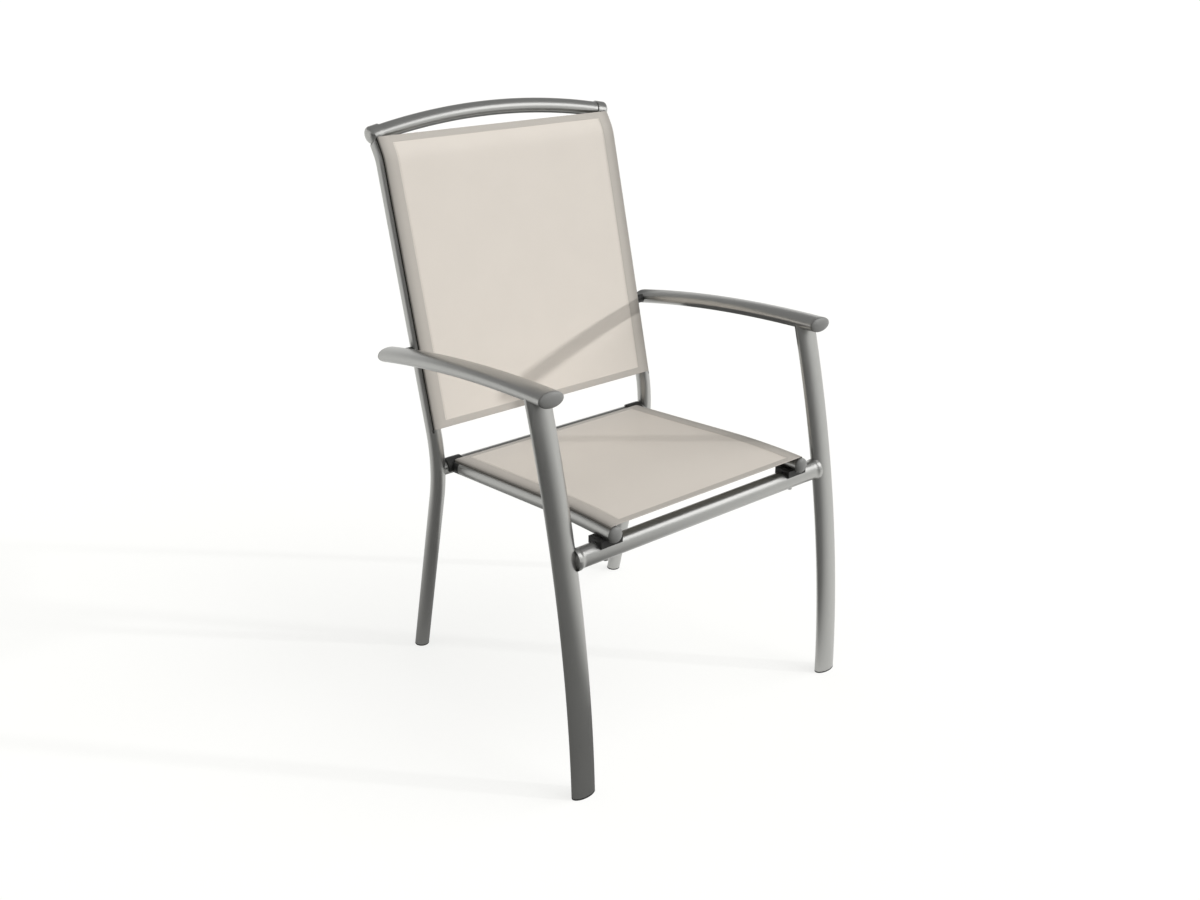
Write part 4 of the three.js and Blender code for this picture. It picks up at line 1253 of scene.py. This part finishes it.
class SLINGCHAIR_OT_stage(ChairOperator, Operator):
    """Makes the camera, the pale floor, the lamps and the studio around them"""

    bl_idname = "sling_chair.stage"
    bl_label = "Stage"

    CAMERA_PLACE = (-1.2254, -1.4859, 1.2057)
    CAMERA_TURN = (np.radians(90 - 22.776), 0.0, np.radians(-39.50))
    CAMERA_LENS = 37.29
    KEY_WAY = (-0.66, 0.70, -0.27)
    KEY_ANGLE = np.radians(2)
    SOFTBOX_WAY = (-0.50, 0.44, -0.745)
    SOFTBOX_ANGLE = np.radians(48)
    SENSOR_WIDTH = 36.0

    def make(self, chair):
        scene = bpy.context.scene
        camera = bpy.data.objects.new("Camera", bpy.data.cameras.new("Camera"))
        camera.data.sensor_width = self.SENSOR_WIDTH
        camera.data.lens = self.CAMERA_LENS
        camera.location = self.CAMERA_PLACE
        camera.rotation_euler = Euler(self.CAMERA_TURN)
        scene.collection.objects.link(camera)
        scene.camera = camera
        scene.view_settings.view_transform = "Standard"
        self.lamp("Key lamp", chair.key_strength, self.KEY_ANGLE, self.KEY_WAY)
        self.lamp("Softbox", chair.softbox_strength, self.SOFTBOX_ANGLE, self.SOFTBOX_WAY)
        self.studio(chair)
        self.floor(chair)
        self.shade(chair)

    @staticmethod
    def lamp(name, strength, angle, way):
        lamp = bpy.data.objects.new(name, bpy.data.lights.new(name, "SUN"))
        lamp.data.energy = strength
        lamp.data.angle = angle
        lamp.visible_glossy = False
        lamp.rotation_euler = Vector(way).to_track_quat("-Z", "Y").to_euler()
        bpy.context.scene.collection.objects.link(lamp)

    @staticmethod
    def studio(chair):
        """Pale walls to the camera and in reflections, which light the chair only a little."""
        world = bpy.data.worlds.new("Studio")
        bpy.context.scene.world = world
        world.use_nodes = True
        nodes = Nodes(world.node_tree)
        background = nodes.tree.nodes["Background"]
        background.inputs["Color"].default_value = PAPER_WHITE
        strength = nodes.ramp(nodes.seen_directly(), 0.0, 1.0, chair.ambient, 1.0)
        nodes.tree.links.new(strength, background.inputs["Strength"])

    def shade(self, chair):
        """Painted reflections: dark sheets, a grey ceiling sheet and a glowing white card, shown
        only in metal.

        The dark sheet on the floor paints the chair's shadow on the floor into the metal. It is
        dark to the left and front, and thins out with x / r towards the right and with y towards
        the back. The two dim sheets, over the seat and behind the back, paint shade into the
        underside of the top rail. The grey ceiling sheet paints a reflection from above, and the
        white card paints a highlight.
        """
        # Painted shadow: the chair's shadow on the floor, seen only in the metal
        black = studio_black("Painted floor shadow")
        x, y = black.parts(black.place)
        distance = black.math("SQRT", black.plus(black.times(x, x), black.times(y, y)))
        rightward = black.ramp(black.math("DIVIDE", x, distance), -0.02, 0.75, 0.12, 1.0)
        backward = black.ramp(y, 0.08, 0.95, 0.2, 0.95)
        black.join("Alpha", black.minus(1.0, black.larger(rightward, backward)))
        # Painted shade: dim sheets over the seat and behind the back darken the top rail's
        # underside
        dim = studio_black("Painted dim shade", glow=0.12)
        # Painted reflection: a grey ceiling sheet that glows only in the metal
        ceiling = studio_black("Painted ceiling reflection", chair.ceiling_reflection_glow)
        # Painted highlight: a white card that glows only in the metal, above the chair's right
        # front
        card = studio_black("Painted highlight card", chair.highlight_card_glow)
        down = (0, 0, -1)
        for name, finish, reach, place, way in (
            ("painted_floor_shadow", black, (25.0, 25.0), (0, 0, 0.001), down),
            ("painted_shade_over_seat", dim, (0.40, 0.13), (0.23, -0.03, 0.56), down),
            ("painted_shade_behind_back", dim, (0.28, 0.17), (0.26, 0.44, 0.62), down),
            ("painted_ceiling_reflection", ceiling, (4.6, 4.6), (0, 0, 2.6), down),
            ("painted_highlight_card", card, (0.42, 0.42), (0.80, -0.84, 1.26), (-0.62, 0.50, -0.60)),
        ):
            self.sheet(name, finish.material, reach, place, way)
        # Painted shade: a dark wall all round, seen only in the metal, dark to the left and front
        radius, height, count = 6.0, 2.4, 96
        rim = np.pad(oval(radius, radius, count), ((0, 0), (0, 1)))
        wall = np.stack([rim, rim + height * UP]).reshape(-1, 3)
        self.reflected("painted_dark_wall", black.material, wall, quads(2, count, False, True))

    def sheet(self, name, material, reach, place, way):
        """A flat rectangle that faces the way given."""
        facing = unit(np.array(way, float))
        side = unit(np.cross(facing, (0.0, 1.0, 0.001)))
        corners = np.array([(-1, -1), (1, -1), (1, 1), (-1, 1)]) * reach
        places = place + corners @ np.stack([side, np.cross(side, facing)])
        self.reflected(name, material, places, np.arange(4)[None])

    @staticmethod
    def reflected(name, material, places, faces):
        """A surface that shows only in reflections."""
        made = new_object(name, places, faces.tolist(), material)
        made.visible_camera = made.visible_diffuse = made.visible_shadow = False

    @staticmethod
    def floor(chair):
        reach, count = 30.0, 13
        steps = np.linspace(-reach, reach, count)
        x, y = np.meshgrid(steps, steps)
        places = np.stack([x, y, 0 * x], axis=-1).reshape(-1, 3)
        faces = quads(count, count, False, False).tolist()
        made = new_object("studio_floor", places, faces, studio_paper(chair))


class SLINGCHAIR_PT_panel(Panel):
    """The chair's settings and its operators"""

    bl_label = "Sling patio chair"
    bl_idname = "SLINGCHAIR_PT_panel"
    bl_space_type = "VIEW_3D"
    bl_region_type = "UI"
    bl_category = "Sling Chair"

    def draw(self, context):
        chair = context.scene.sling_chair
        for name in SlingChairSettings.__annotations__:
            self.layout.prop(chair, name)
        for operator in OPERATORS:
            self.layout.operator(operator.bl_idname)


OPERATORS = (
    SLINGCHAIR_OT_stage,
    SLINGCHAIR_OT_top_rail,
    SLINGCHAIR_OT_uprights,
    SLINGCHAIR_OT_front_legs,
    SLINGCHAIR_OT_armrests,
    SLINGCHAIR_OT_crossbars,
    SLINGCHAIR_OT_seat_rails,
    SLINGCHAIR_OT_feet,
    SLINGCHAIR_OT_small_parts,
    SLINGCHAIR_OT_slings,
)
CLASSES = (SlingChairSettings, *OPERATORS, SLINGCHAIR_PT_panel)
finishes = {}


def register():
    for entry in CLASSES:
        bpy.utils.register_class(entry)
    bpy.types.Scene.sling_chair = PointerProperty(type=SlingChairSettings)


def unregister():
    del bpy.types.Scene.sling_chair
    for entry in reversed(CLASSES):
        bpy.utils.unregister_class(entry)


def make_finishes(chair):
    finishes.update(
        metal=coated_metal(chair),
        cap=moulded("Grey moulded caps", tuple(chair.cap_colour), 0.36),
        black=moulded("Black moulded nylon", (0.018, 0.018, 0.017), 0.48),
        steel=turned_steel(),
        rod=moulded("White welt rod", (0.72, 0.71, 0.67), 0.5),
        weave=sling_weave(chair),
        thread=moulded("Polyester thread", (0.50, 0.47, 0.43), 0.7, grain_scale=5000.0),
    )


def main():
    register()
    make_finishes(bpy.context.scene.sling_chair)
    for operator in OPERATORS:
        group, name = operator.bl_idname.split(".")
        getattr(getattr(bpy.ops, group), name)()


if __name__ == "__main__":
    main()
